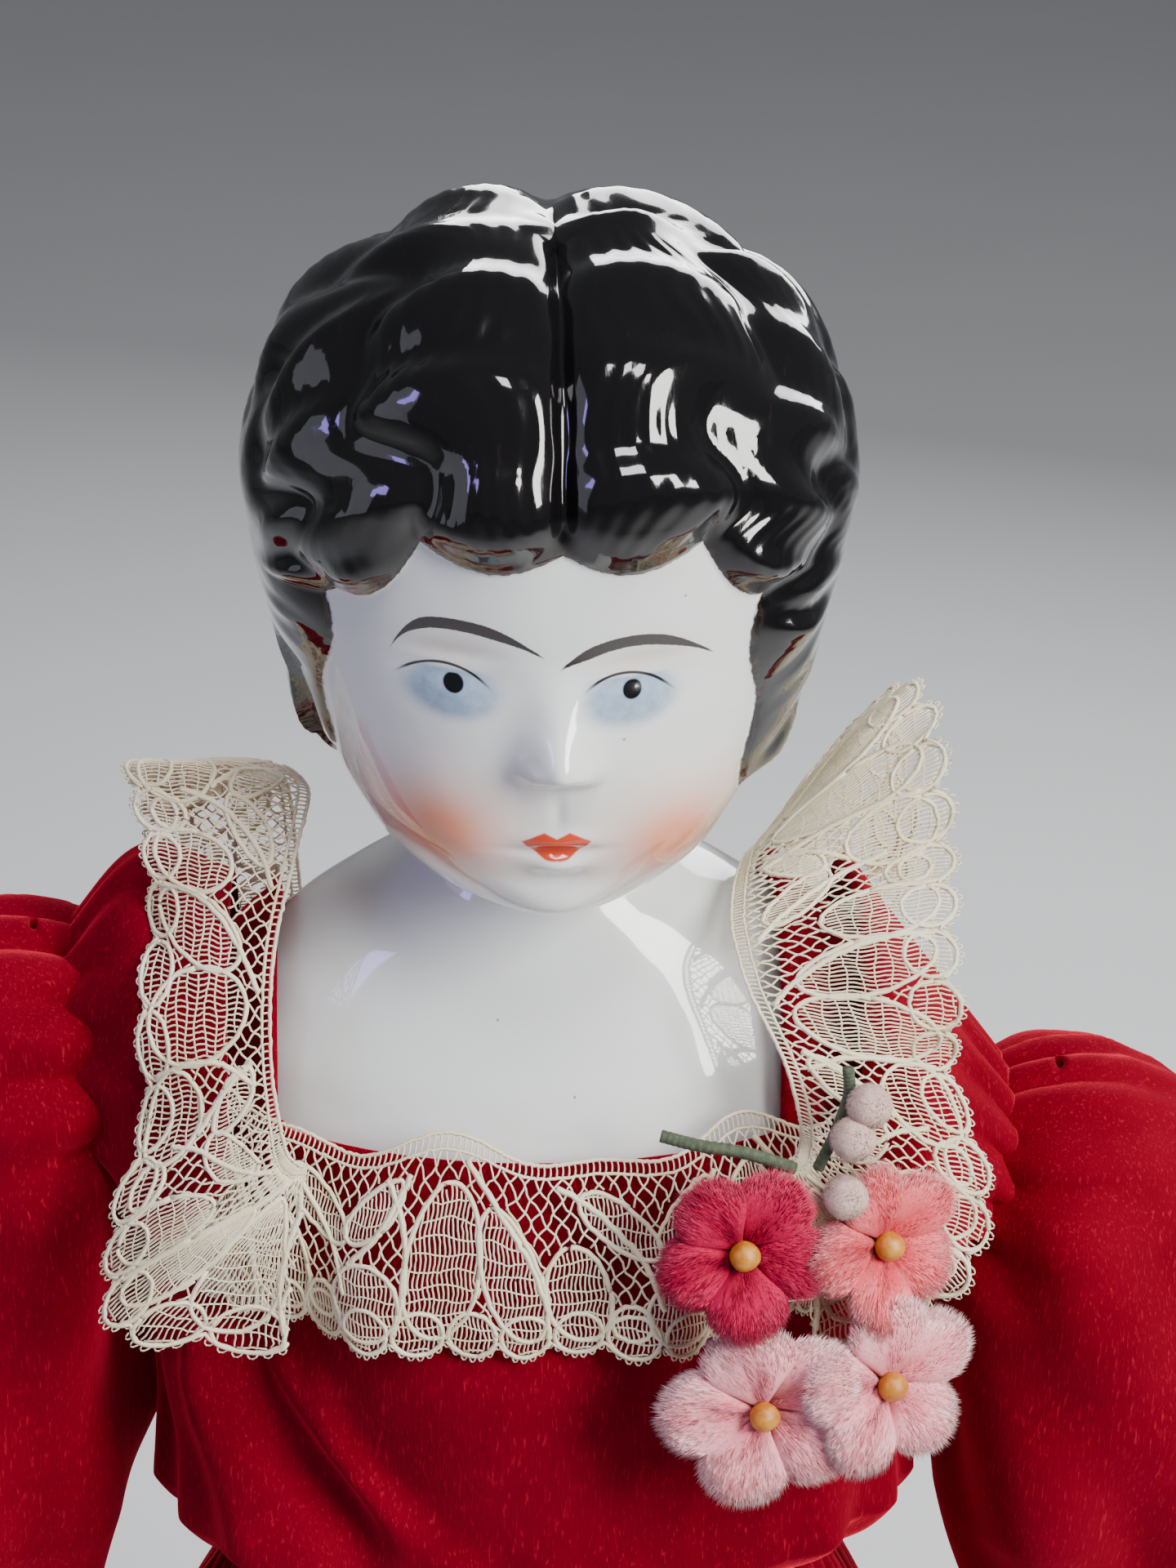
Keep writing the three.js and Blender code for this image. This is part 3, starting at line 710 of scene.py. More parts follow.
def around_torso(angle, z, offset):
    return oval_layer(torso_oval(z), angle, z, offset)


# Each fold's angle and height at its top, the same at its foot, its height over the cloth and its width.
FRONT_FOLDS = (
    (1.30, 366, 0.62, 292, 1.7, 0.085), (1.18, 350, 0.95, 290, 1.5, 0.08), (1.02, 344, 0.38, 290, 1.5, 0.07),
    (1.42, 345, 1.28, 292, 1.6, 0.09), (0.80, 342, 0.16, 292, 1.0, 0.06), (-1.30, 368, -0.70, 292, 1.9, 0.09),
    (-1.16, 352, -0.98, 290, 1.5, 0.075), (-1.05, 346, -0.45, 290, 1.7, 0.07),
    (-1.45, 348, -1.30, 292, 1.5, 0.09), (-0.82, 342, -0.10, 292, 1.1, 0.06),
    (-0.98, 341, -0.62, 286, 1.9, 0.075), (0.92, 341, 0.66, 286, 1.7, 0.07),
    (-0.62, 338, -0.30, 290, 0.9, 0.05), (0.60, 336, 0.48, 290, 0.9, 0.05),
)
BACK_FOLDS = tuple(
    (side * top_angle, top_z, side * low_angle, low_z, height, width)
    for top_angle, top_z, low_angle, low_z, height, width in (
        (2.1, 366, 2.5, 292, 1.3, 0.09), (2.8, 345, 2.9, 290, 1.0, 0.07), (1.75, 350, 1.9, 292, 1.4, 0.09),
    )
    for side in (LEFT, RIGHT)
)


def bodice_folds(angle, z):
    """Soft ridges that run from the armholes and the neck edge down to the waist."""
    total = 0 * (angle + z)
    for top_angle, top_z, low_angle, low_z, height, width in FRONT_FOLDS + BACK_FOLDS:
        t = np.clip((top_z - z) / (top_z - low_z), 0, 1)
        line = top_angle + (low_angle - top_angle) * t + 0.05 * np.sin(t * 5 + top_angle * 3)
        along = smoothstep(0, 0.25, t) * smoothstep(1.0, 0.85, t * 0.98)
        total = total + 1.45 * height * along * np.exp(-(((angle - line) / (width * (0.8 + 0.9 * t))) ** 2))
    return total


def make_bodice():
    foot, top = 286.5, 391.5
    z = np.linspace(foot, top, 150)[:, None]
    angle = around(420)
    near_waist = smoothstep(314, 290, z)
    pleats = np.cos(30 * angle + 0.8 * np.sin(3 * angle)) * near_waist
    blouse = 2.6 * np.exp(-(((z - 301) / 10.0) ** 2))
    bust = 1.6 * np.exp(-(((z - 330) / 16.0) ** 2)) * np.clip(np.cos(angle), 0, 1)
    broad = 1.3 * np.sin(6 * angle + 0.05 * (z - 300) + 1.0) * smoothstep(372, 335, z)
    rise = 1.1 * smoothstep(366, 380, z)
    offset = 2.0 + pleats + broad + blouse + bust + rise + bodice_folds(angle, z)
    grid = around_torso(angle, z + 0 * angle, offset)
    grid[..., 0] = np.clip(grid[..., 0], -53, 53)
    x, height = grid[..., 0].copy(), grid[..., 2].copy()
    neck_half = np.where(x > 0, NECK_HALF, NECK_HALF + NECK_SLIP)
    opening = (np.abs(x) < neck_half) & (height > NECKLINE_Z)
    near_side = opening & (np.abs(x) > neck_half - NECK_SNAP * 2)
    near_foot = opening & (height < NECKLINE_Z + NECK_SNAP)
    grid[..., 0] = np.where(near_side, np.sign(x) * neck_half, x)
    grid[..., 2] = np.where(near_foot & ~near_side, NECKLINE_Z, height)
    inside = (opening & ~near_side & ~near_foot).ravel()
    faces = grid_faces(*grid.shape[:2])
    faces = faces[~inside[faces].any(axis=1)]
    used, index = np.unique(faces, return_inverse=True)
    piece = make_mesh("velvet_bodice", grid.reshape(-1, 3)[used], index.reshape(faces.shape), VELVET)
    thicken(piece, 1.6)
    finish_piece(piece, "torso", "velvet", "bodice")


def make_waistband():
    low, high = 281.0, 289.5
    z = np.linspace(low, high, 12)[:, None]
    angle = around(240)
    band = np.sin(np.clip((z - low) / (high - low), 0, 1) * math.pi)
    offset = 3.2 + band + 0.15 * np.sin(40 * angle)
    grid = oval_layer(torso_oval(284.0), angle, z, offset)
    piece = thicken(grid_mesh("velvet_waistband", grid, VELVET), 1.4)
    finish_piece(piece, "torso", "velvet", "waistband")


SKIRT_SECTIONS = np.array([
    (0, 103, 100, 0), (80, 94, 90, 0), (150, 83, 79, 0), (205, 70, 66, 0), (240, 59, 54, 0),
    (262, 50, 43, 0), (274, 44, 36, 0), (283, 38, 29, 0),
])


def smooth_oval(z, table, reach=9.0):
    """The table's ovals with their corners rounded off along the height."""
    heights = [np.clip(z + k * reach, table[0, 0], table[-1, 0]) for k in (-1, -0.5, 0, 0.5, 1)]
    parts = [torso_oval(height, table) for height in heights]
    return tuple(sum(p[k] for p in parts) / len(parts) for k in range(3))


def skirt_grid(rows, columns, low, high, inset, flutes, deep):
    """A gathered skirt from its waist at high to its hem at low, with flutes that deepen downwards."""
    z = (high - (high - low) * np.linspace(0, 1, rows) ** 1.15)[:, None]
    angle = around(columns)
    down = (high - z) / (high - low)
    wander = angle + 0.10 * np.sin(2 * angle + 1.0) + 0.05 * np.sin(5 * angle + 3 * down)
    flute = 2.1 * np.sqrt(np.sin(flutes / 2 * wander) ** 2 + 0.03) - 1.3
    flute = flute + 0.3 * np.cos((flutes - 3) * wander + 1.3)
    gather = np.cos(flutes * 5 * angle + 0.8 * np.sin(7 * angle)) * 0.9 * np.exp(-down / 0.09)
    offset = flute * deep * down ** 0.6 - 1.2 * down + gather - inset * smoothstep(-0.05, 0.16, down)
    return oval_layer(smooth_oval(z, SKIRT_SECTIONS), angle, z, offset)


def blend_to_legs(piece):
    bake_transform(piece)


def make_skirt():
    grid = skirt_grid(150, 540, low=0.0, high=283.5, inset=0.0, flutes=16, deep=4.2)
    piece = thicken(grid_mesh("velvet_skirt", grid, VELVET), 1.5)
    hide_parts("skirt")
    blend_to_legs(piece)


def make_petticoat():
    grid = skirt_grid(110, 300, low=4.0, high=279.0, inset=13.0, flutes=14, deep=1.6)
    x, y, z = grid[..., 0], grid[..., 1], grid[..., 2]
    tucks = sum(np.exp(-(((z - t) / 0.9) ** 2)) for t in (24, 30, 36)) * 0.8
    out = unit(np.stack([x, y, 0 * z], axis=-1))
    grid = grid + out * tucks[..., None]
    piece = thicken(grid_mesh("cotton_petticoat", grid, COTTON), 0.7)
    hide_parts("petticoat")
    blend_to_legs(piece)


def make_torso_body():
    z = np.linspace(250.5, 381, 90)[:, None]
    angle = around(120)
    seam = -0.7 * np.exp(-((np.sin(angle) / 0.02) ** 2))
    offset = -3.6 + seam + 0.25 * np.sin(5 * angle + z / 9)
    grid = around_torso(angle, z + 0 * angle, offset)
    foot = grid[0] * np.array([0.55, 0.55, 1]) + np.array([0, 0, -0.6])
    grid = np.concatenate([foot[None], grid])
    piece = grid_mesh("muslin_torso", grid, MUSLIN)
    close_ends(piece.data, *grid.shape[:2])
    finish_piece(piece, "torso", "muslin", "torso_casing", "torso_stuffing")


def close_ends(mesh, rows, columns):
    """Fills the first and last ring of a grid's mesh."""
    shape = bmesh.new()
    shape.from_mesh(mesh)
    shape.verts.ensure_lookup_table()
    for start in (0, (rows - 1) * columns):
        shape.faces.new([shape.verts[start + k] for k in range(columns)])
    bmesh.ops.recalc_face_normals(shape, faces=shape.faces)
    shape.to_mesh(mesh)
    shape.free()
    mesh.polygons.foreach_set("use_smooth", [True] * len(mesh.polygons))


# ---------------------------------------------------------------- arms

ARM_X, ARM_TOP, ARM_LEAN = 69.0, 362.0, 0.2
# The sleeve's distance down the arm and its radius there.
SLEEVE_PROFILE = np.array([
    (-13.6, 0.5), (-13.2, 5), (-11.6, 10), (-8, 14.6), (-2, 17.8), (6, 19.2), (16, 20.2), (30, 22.4),
    (48, 24.0), (66, 23.6), (84, 21.0), (98, 16.4), (108, 12.2), (115, 9.8),
])
# How far each puff stands over that profile, and the shoulder cloth's height at its two ends and its swell.
PUFF_RISE = {LEFT: -16.5, RIGHT: 7.0}
CAP_TOP = {LEFT: (390.0, 358.5, 0.0), RIGHT: (388.0, 379.0, 9.0)}
ARMHOLE_X = 53.6


def arm_place(side, points):
    """From the arm's own frame, where it hangs along -Z, to the doll's."""
    lean = -side * math.atan(ARM_LEAN)
    x, y, z = points[..., 0], points[..., 1], points[..., 2]
    across = side * ARM_X + x * math.cos(lean) + z * math.sin(lean)
    return np.stack([across, y, ARM_TOP - x * math.sin(lean) + z * math.cos(lean)], axis=-1)


def make_sleeve(side, name):
    """A full sleeve, gathered at the armhole and again at the cuff."""
    drop, radius = spread(SLEEVE_PROFILE, 150)
    drop = drop - PUFF_RISE[side] * smoothstep(30, -10, drop)
    angle = around(220)
    soft = smoothstep(0, 14, radius)
    folds = 1.8 * np.sin(4 * angle + drop / 19 + side) + 1.1 * np.sin(7 * angle - drop / 13 + 2 * side)
    lower = np.cos(22 * angle + np.sin(3 * angle)) * smoothstep(84, 112, drop) * 0.9
    swag = 1.2 * np.sin(drop / 7.5 + 2.4 * np.cos(angle + 0.6 * side)) * smoothstep(30, 60, drop)
    r = radius + (folds * smoothstep(-4, 30, drop) * 0.9 + lower + swag * 0.6) * soft
    local = np.stack([r * np.cos(angle), r * np.sin(angle), -drop + 0 * angle], axis=-1)
    grid = arm_place(side, local)
    # Gathers radiate over the puff from the pinched armhole.
    hole = np.array([side * 57.0, 0, CAP_TOP[side][1] - 13.5])
    spoke = grid - hole
    turn = np.arctan2(spoke[..., 1], spoke[..., 2])
    distance = np.linalg.norm(spoke, axis=-1)
    gather = np.cos(12 * turn + 1.3 * np.sin(2 * turn)) * np.exp(-((distance - 16) / 11) ** 2) * 1.4
    grid = grid + unit(spoke) * gather[..., None]
    grid[..., 0] = side * np.maximum(side * grid[..., 0], ARMHOLE_X)
    piece = thicken(grid_mesh(f"velvet_sleeve_{name}", grid, VELVET), 1.5)
    finish_piece(piece, f"arm_{name}", "velvet", f"sleeve_{name}")


def make_sleeve_cap(side, name):
    """The gathered shoulder cloth between bodice and sleeve."""
    out = np.linspace(0, 1, 56)[:, None]
    angle = around(220)
    inner_top, outer_top, puff = CAP_TOP[side]
    x = 40 + 22.5 * out
    pinch = smoothstep(0.3, 1.0, out)
    radius = 23.0 - 9.5 * pinch
    swell = puff * np.sin(out * math.pi) ** 1.5 * np.clip(np.cos(angle), 0, 1)
    middle = inner_top + (outer_top - inner_top) * out + swell - radius
    r = radius + np.cos(14 * angle + 1.1 * np.sin(2 * angle)) * pinch * 1.2
    grid = np.stack([side * (x + 0 * angle), r * np.sin(angle) * 0.95, middle + r * np.cos(angle)], axis=-1)
    if side == RIGHT:
        grid = grid[:, ::-1]
    piece = thicken(grid_mesh(f"velvet_shoulder_{name}", grid, VELVET), 1.2)
    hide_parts(f"sleeve_cap_{name}")
    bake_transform(piece)


def lathe_grid(profile, columns, rows, relief=None):
    """A turned form from (radius, height) points, with its rows spread evenly along the profile."""
    radius, z = spread(np.asarray(profile, float), rows)
    kernel = np.array([1, 2, 3, 2, 1]) / 9
    radius = np.convolve(np.pad(radius[:, 0], 2, mode="edge"), kernel, "valid")[:, None]
    angle = around(columns)
    if relief is not None:
        radius = radius + relief(angle, z)
    return np.stack([radius * np.cos(angle), radius * np.sin(angle), z + 0 * angle], axis=-1)


def fused(name, parts, material, voxel, smoothing):
    """Joins overlapping closed grids into one smooth skin."""
    piece = make_mesh(name, *joined_grids(parts), material)
    add_modifier(piece, "REMESH", mode="VOXEL", voxel_size=voxel * MM, use_smooth_shade=True)
    add_modifier(piece, "SMOOTH", factor=0.5, iterations=smoothing)
    return apply_modifiers(piece)


def capsule(start, end, r0, r1, columns=16, rows=14):
    """A round-ended finger or toe between two points, in the grid form that fused joins."""
    start, end = np.asarray(start, float), np.asarray(end, float)
    t = np.linspace(0, 1, rows)
    length = np.linalg.norm(end - start)
    reach = t * (length + r0 + r1) - r0
    radius = r0 + (r1 - r0) * np.clip(reach / length, 0, 1)
    over = np.maximum(-reach, 0) / r0 + np.maximum(reach - length, 0) / r1
    radius = radius * np.sqrt(np.clip(1 - over ** 2, 0.003, 1))
    path = start + (end - start) * (reach / length)[:, None]
    return tube_points(path, radius, columns)


def make_forearm(side, name):
    bone = lathe_grid([
        (0.3, -64.8), (6.6, -64.9), (7.3, -66), (7.1, -68), (6.2, -69.4), (6.3, -71.2), (7.5, -73),
        (8.1, -84), (7.0, -98), (5.3, -112), (4.5, -122), (4.7, -127), (5.4, -132), (5.6, -136),
        (3, -138), (0.3, -138.4),
    ], 40, 70)
    palm = capsule((0, -0.2, -129), (0, -0.4, -140), 3.6, 3.9, 20) * np.array([0.72, 1.32, 1])
    fingers = [
        capsule((0.2, y, -141), (0.9, y * 1.12, -141 - long), 1.45, 1.15)
        for y, long in ((-3.6, 10.5), (-1.2, 12.5), (1.2, 11.8), (3.5, 8.6))
    ]
    knuckle = (0.6, -7.2, -138.5)
    thumb = [capsule((0, -4.0, -132), knuckle, 1.9, 1.5), capsule(knuckle, (1, -7.4, -143), 1.5, 1.3)]
    parts = [arm_place(side, part) for part in (bone, palm, *fingers, *thumb)]
    piece = fused(f"china_forearm_{name}", parts, PLAIN_CHINA, 0.42, 5)
    finish_piece(piece, f"arm_{name}", "china", f"forearm_{name}")


def make_upper_arm(side, name):
    drop = lathe_grid([
        (0.3, -6.5), (4, -7.0), (7.2, -9.0), (8.8, -13), (9.6, -24), (9.8, -40), (9.4, -56), (9.1, -66),
        (8.5, -68.2), (9.0, -70.8), (7.7, -71), (7.7, -64.4), (0.3, -64.2),
    ], 48, 90, lambda a, z: 0.25 * np.sin(3 * a + z / 6) + 0.12 * np.sin(9 * a + z / 3))
    across = lathe_grid([(0.3, 0), (5.0, 0.5), (5.2, 8), (5, 17.5), (0.3, 18)], 40, 30)
    up, back, inwards = across[..., 0], across[..., 1], across[..., 2]
    stub = np.stack([side * (ARM_X - inwards), back * -side, ARM_TOP - 13 + up], axis=-1)
    piece = fused(f"muslin_arm_{name}", [arm_place(side, drop), stub], MUSLIN, 0.7, 6)
    finish_piece(piece, f"arm_{name}", "muslin", f"upper_arm_{name}")


def make_cuff(side, name):
    cuff = lathe_grid([(9.3, -114.0), (9.9, -115), (10.1, -119), (9.9, -122.6), (9.3, -123.6)], 120, 24,
                      lambda a, z: 0.08 * np.sin(30 * a))
    piece = thicken(grid_mesh(f"velvet_cuff_{name}", arm_place(side, cuff), VELVET), 1.4)
    finish_piece(piece, f"arm_{name}", "velvet", f"cuff_{name}")


# ---------------------------------------------------------------- legs

HEEL_X = 21.0


def make_thigh(name, hip):
    thigh = lathe_grid([
        (0.3, 12), (5, 11.2), (9.4, 7.6), (11.6, 2), (12, -14), (13.6, -40), (14.6, -62), (13.4, -90),
        (12.5, -110), (12.2, -121.5), (11.6, -124), (12.4, -127), (10.4, -127.2), (10.3, -119.2),
        (0.3, -118.6),
    ], 64, 120, lambda a, z: -0.5 * np.exp(-((np.sin(a) / 0.05) ** 2)) + 0.2 * np.sin(4 * a + z / 8))
    piece = fused(f"muslin_thigh_{name}", [thigh + hip], MUSLIN, 0.9, 3)
    finish_piece(piece, f"leg_{name}", "muslin", f"thigh_{name}")


def drawers_relief(angle, z):
    """Loose folds down the leg, a frill at the hem and three sewn tucks over it."""
    folds = 0.5 * np.sin(12 * angle + np.sin(3 * angle)) * smoothstep(-20, -60, z)
    frill = np.sin(20 * angle) * smoothstep(-121, -137, z) * 0.9
    tucks = sum(np.exp(-(((z - t) / 0.7) ** 2)) for t in (-112, -116, -120)) * 0.45
    return folds + frill + tucks


def make_drawers(name, hip):
    grid = lathe_grid([
        (12.7, -6), (13.6, -14), (14.6, -40), (16.2, -70), (17.0, -100), (16.6, -117), (17.6, -126),
        (18.4, -138),
    ], 160, 90, drawers_relief)
    piece = thicken(grid_mesh(f"cotton_drawers_{name}", grid + hip, COTTON), 0.5)
    finish_piece(piece, f"leg_{name}", "cotton", f"drawers_{name}")


def make_lower_leg(side, name, hip):
    """The china shin with its heeled boot. The boot's places are the doll's own, the shin's are the hip's."""
    shin = lathe_grid([
        (0.3, -119), (9.2, -119.1), (9.9, -120), (9.9, -122), (8.6, -123.6), (8.6, -125.6), (10.2, -128),
        (12.2, -143), (11.6, -161), (8.4, -188), (7.2, -205), (7.2, -215), (7.6, -224), (7.0, -229),
        (0.3, -229.4),
    ], 48, 110)
    ankle = capsule((side * HEEL_X, 4, 6.4), (side * HEEL_X, 3, 13), 5.6, 6.4, 24)
    instep = capsule((side * HEEL_X, 0, 8.5), (side * 21.6, -17.5, 5.0), 6.2, 4.9, 28)
    toe = capsule((side * 21.6, -17, 4.6), (side * 21.4, -24.2, 3.9), 4.8, 3.6, 24)
    heel = lathe_grid([(0.3, 0), (5.0, 0), (4.4, 2.6), (5.2, 6.5), (0.3, 6.6)], 28, 16)
    heel = heel + np.array([side * HEEL_X, 4.6, 0])
    sole = np.stack([
        np.array([side * 21.5 + w * 4.6 * math.cos(t), -16.2 + w * 11.4 * math.sin(t), h])
        for h, w in ((0, 0.02), (0, 0.86), (0.4, 0.99), (1.6, 1.0), (2.6, 0.9), (2.7, 0.02))
        for t in np.linspace(0, 2 * math.pi, 32, endpoint=False)
    ]).reshape(6, 32, 3)
    piece = fused(f"china_leg_{name}", [shin + hip, ankle, instep, toe, heel, sole], BOOT_CHINA, 0.6, 3)
    for vertex in piece.data.vertices:
        vertex.co.z = max(vertex.co.z, 0.0)
    finish_piece(piece, f"leg_{name}", "china", f"lower_leg_{name}")


def make_leg(side, name):
    """The stuffed thigh, its drawers leg and the china shin and boot."""
    hip = PIVOTS[f"hip_{name}"]
    make_thigh(name, hip)
    make_drawers(name, hip)
    make_lower_leg(side, name, hip)


# ---------------------------------------------------------------- lace

SCALLOP = 6.5
LACE_WIDTH = 23.5
BAND, STRAP, FRILL = 116, 150, 100  # the strips' lengths across the breast, over a shoulder and round a cuff


def scallop_edge(u):
    return LACE_WIDTH - 2.2 + 2.2 * np.abs(np.sin(math.pi * u / SCALLOP)) ** 0.7


PATTERN_REPEAT = 39.0
# Each leaf's place along and across the strip, its half sizes and its tilt.
LEAVES = (
    (6.0, 12.6, 4.5, 8.6, 0.14), (14.6, 13.4, 3.5, 8.2, -0.34), (22.6, 15.4, 3.9, 6.4, -0.22),
    (29.0, 18.6, 2.3, 2.4, 0.0), (35.4, 17.0, 4.6, 4.9, 0.1), (27.6, 7.0, 2.3, 5.6, -1.0),
    (36.0, 6.6, 2.2, 4.6, 0.9),
)
STEMS = (
    ((8.5, 2.2), (12.5, 5.5), (16.5, 10.5), (18.6, 16), (19.0, 21)),
    ((20.0, 2.4), (25.5, 6.0), (30.5, 11.0), (32.6, 16.5)),
    ((33.0, 12.5), (37.0, 8.5), (40.5, 3.2)),
    ((0.5, 20.5), (1.6, 14.0), (1.2, 8.0), (-1.5, 3.0)),
)


def medallion(u, v):
    """Above 0 inside the cloth-like leaves of the pattern."""
    best = np.full(np.broadcast(u, v).shape, -1.0)
    for du, cv, ru, rv, tilt in LEAVES:
        near = (u - du + PATTERN_REPEAT / 2) % PATTERN_REPEAT - PATTERN_REPEAT / 2
        x = near * math.cos(tilt) + (v - cv) * math.sin(tilt)
        y = -near * math.sin(tilt) + (v - cv) * math.cos(tilt)
        best = np.maximum(best, 1 - (x / ru) ** 2 - (y / rv) ** 2)
    return best


def fan(u, v):
    """Above 0 inside the solid scallops along the outer edge, and where a thread meets a valley exactly."""
    near = np.where(u % SCALLOP == 0, 0, u % SCALLOP - SCALLOP / 2)
    return 1 - (near / 2.9) ** 2 - ((v - (LACE_WIDTH - 3.0)) / 2.9) ** 2


def runs(path, keep):
    """The stretches of a path whose points are kept."""
    edges = np.flatnonzero(np.diff(np.concatenate([[0], keep.astype(int), [0]])))
    return [path[a:b] for a, b in zip(edges[::2], edges[1::2]) if b - a >= 2]


def lace_pattern(length, seed):
    """The threads of a flat strip: lists of (along, across) paths and their radii, in millimetres."""
    random = np.random.default_rng(seed)
    paths, radii = [], []

    def take(path, keep, radius):
        for piece in runs(path, keep):
            paths.append(piece)
            radii.append(radius)

    def jitter(path, amount):
        return path + random.normal(0, amount, path.shape)

    step = 0.55
    slope = 1.35
    for direction in (1, -1):
        for start in np.arange(-LACE_WIDTH / slope, length + LACE_WIDTH / slope, 1.9):
            v = np.arange(1.6, LACE_WIDTH, step)
            u = start + direction * v / slope
            path = np.stack([u, v], axis=1)
            ground = (medallion(u, v) < 0) & (fan(u, v) < 0) & (v < scallop_edge(u) - 1.0)
            path[:, 0] += 0.22 * np.sin(v * 2.3 + start)
            take(jitter(path, 0.05), ground & (u > 0) & (u < length), 0.14)
    for v0 in np.arange(2.4, LACE_WIDTH, 1.7):
        u = np.arange(0, length, step)
        v = v0 + 0.25 * np.sin(u * 0.9 + v0)
        inside = (medallion(u, v) > 0.02) | ((fan(u, v) > 0.02) & (v < scallop_edge(u) - 0.4))
        take(jitter(np.stack([u, v], axis=1), 0.05), inside, 0.11)
    for u0 in np.arange(0.3, length - 0.2, 0.56):
        v = np.arange(2.0, LACE_WIDTH, step)
        u = u0 + 0.16 * np.sin(v * 1.3 + 0.9 * np.sin(u0 * 0.7))
        inside = (medallion(u, v) > 0) | ((fan(u, v) > 0) & (v < scallop_edge(u) - 0.3))
        take(jitter(np.stack([u, v], axis=1), 0.04), inside & (u > 0) & (u < length), 0.12)
    turn = np.linspace(0, 2 * math.pi, 40)
    for base in np.arange(-PATTERN_REPEAT, length + PATTERN_REPEAT, PATTERN_REPEAT):
        for du, cv, ru, rv, tilt in LEAVES:
            x, y = ru * np.cos(turn), rv * np.sin(turn)
            u = base + du + x * math.cos(tilt) - y * math.sin(tilt)
            v = cv + x * math.sin(tilt) + y * math.cos(tilt)
            inside = (u > 0) & (u < length) & (v < scallop_edge(u))
            take(jitter(np.stack([u, v], axis=1), 0.06), inside, 0.34)
        for stem in STEMS:
            path = smooth_curve(stem, np.linspace(0, 1, 36)) + (base, 0)
            inside = (path[:, 0] > 0) & (path[:, 0] < length)
            take(jitter(path, 0.06), inside, 0.40)
    for base in np.arange(0, length, SCALLOP):
        u = base + SCALLOP / 2 + 2.95 * np.cos(turn)
        v = LACE_WIDTH - 3.0 + 2.95 * np.sin(turn)
        take(jitter(np.stack([u, v], axis=1), 0.05), (u > 0) & (u < length), 0.32)
    u = np.arange(0, length, 0.4)
    for v, radius in ((0.2 + 0 * u, 0.26), (1.5 + 0 * u, 0.2), (scallop_edge(u), 0.30)):
        take(jitter(np.stack([u, v], axis=1), 0.04), u >= 0, radius)
    for u0 in np.arange(0.4, length, 0.8):
        v = np.linspace(0.2, 1.5, 4)
        take(np.stack([u0 + 0.2 * np.sin(v * 2), v], axis=1), v > 0, 0.12)
    picot = np.linspace(0, math.pi, 6)
    for u0 in np.arange(0.5, length - 0.5, 1.05):
        v0 = scallop_edge(np.array([u0]))[0]
        path = np.stack([u0 + 0.38 * np.cos(picot), v0 + 0.75 * np.sin(picot)], axis=1)
        take(path, picot >= 0, 0.11)
    return paths, radii


def lace_mesh(name, length, seed, surface):
    """The strip's threads laid on a surface, which maps (along, across) in 0..length, 0..width to points."""
    paths, radii = lace_pattern(length, seed)
    laid = [surface(p[:, 0], p[:, 1]) for p in paths]
    return tubes_mesh(name, laid, radii, LACE)


def smooth_curve(points, t):
    """A Catmull-Rom curve through the points, t from 0 to 1."""
    points = np.asarray(points, float)
    padded = np.concatenate([[2 * points[0] - points[1]], points, [2 * points[-1] - points[-2]]])
    position = np.clip(t, 0, 1) * (len(points) - 1)
    i = np.minimum(position.astype(int), len(points) - 2)
    f = (position - i)[..., None]
    p0, p1, p2, p3 = (padded[i + k] for k in range(4))
    return 0.5 * ((2 * p1) + (p2 - p0) * f + (2 * p0 - 5 * p1 + 4 * p2 - p3) * f ** 2
                  + (3 * p1 - p0 - 3 * p2 + p3) * f ** 3)


# The inner and outer edge of each shoulder strip from front to back, as for her left shoulder.
LYING_STRAP = (
    ((30, -30, 367.5), (33, -38.5, 343)), ((31, -30.5, 368), (53, -34, 345)),
    ((32.5, -29.5, 370), (55.5, -30.5, 356)), ((34, -26, 377), (50.6, -22.5, 372)),
    ((34, -19, 389), (50.4, -14, 388)), ((31.5, -11, 399.5), (50.4, -6, 399)),
    ((29.5, -3, 405), (52.5, 1, 405)), ((33, 5, 404.5), (52, 9, 402)), ((32.5, 12, 397), (52, 16, 392)),
    ((32, 20, 384), (52.5, 23, 378)), ((31.5, 27, 371), (53, 27, 362)), ((31, 30, 367.5), (45, 34, 346)),
    ((30, 30.5, 367), (32, 36.5, 343)),
)
STANDING_STRAP = (
    ((30, -30, 367.5), (33, -37.5, 343)), ((31, -30, 368), (50, -34, 346)), ((31, -30, 372), (56, -30, 359)),
    ((29, -28, 380), (52.4, -25.5, 374)), ((24.5, -23, 388), (51, -22, 386)),
    ((23, -15, 391.5), (51.5, -13, 395)), ((24, -6, 392.5), (51.8, -4, 403)),
    ((26, 1, 392.5), (50, 3, 413)), ((29, 8, 391), (46, 9, 415)),
    ((32, 17, 385), (49, 20, 402)), ((31.5, 26, 371), (53, 29, 376)), ((31, 30, 367.5), (46, 34, 350)),
    ((30, 30.5, 367), (32, 36.5, 343)),
)


def strap_surface(side, table, length, phase):
    """Over a shoulder, between the table's two edges."""
    inner, outer = np.array(table, float).transpose(1, 0, 2) * np.array([side, 1, 1])

    def surface(u, v):
        t = u / length
        low, high = smooth_curve(inner, t), smooth_curve(outer, t)
        w = (v / LACE_WIDTH)[:, None]
        along = unit(smooth_curve(outer, t + 0.02) - smooth_curve(outer, t - 0.02))
        out = unit(np.cross(unit(high - low), along))
        wave = 1.5 * np.sin(u / 4.6 + phase + w[:, 0]) + 0.9 * np.sin(u / 2.5 + 2 * phase - 2 * w[:, 0])
        wave = wave * (0.15 + w[:, 0] ** 1.3)
        crown = 1.5 * np.sin(np.clip(w[:, 0], 0, 1) * math.pi)
        return low + (high - low) * w + out * (wave + crown * side)[:, None]

    return surface


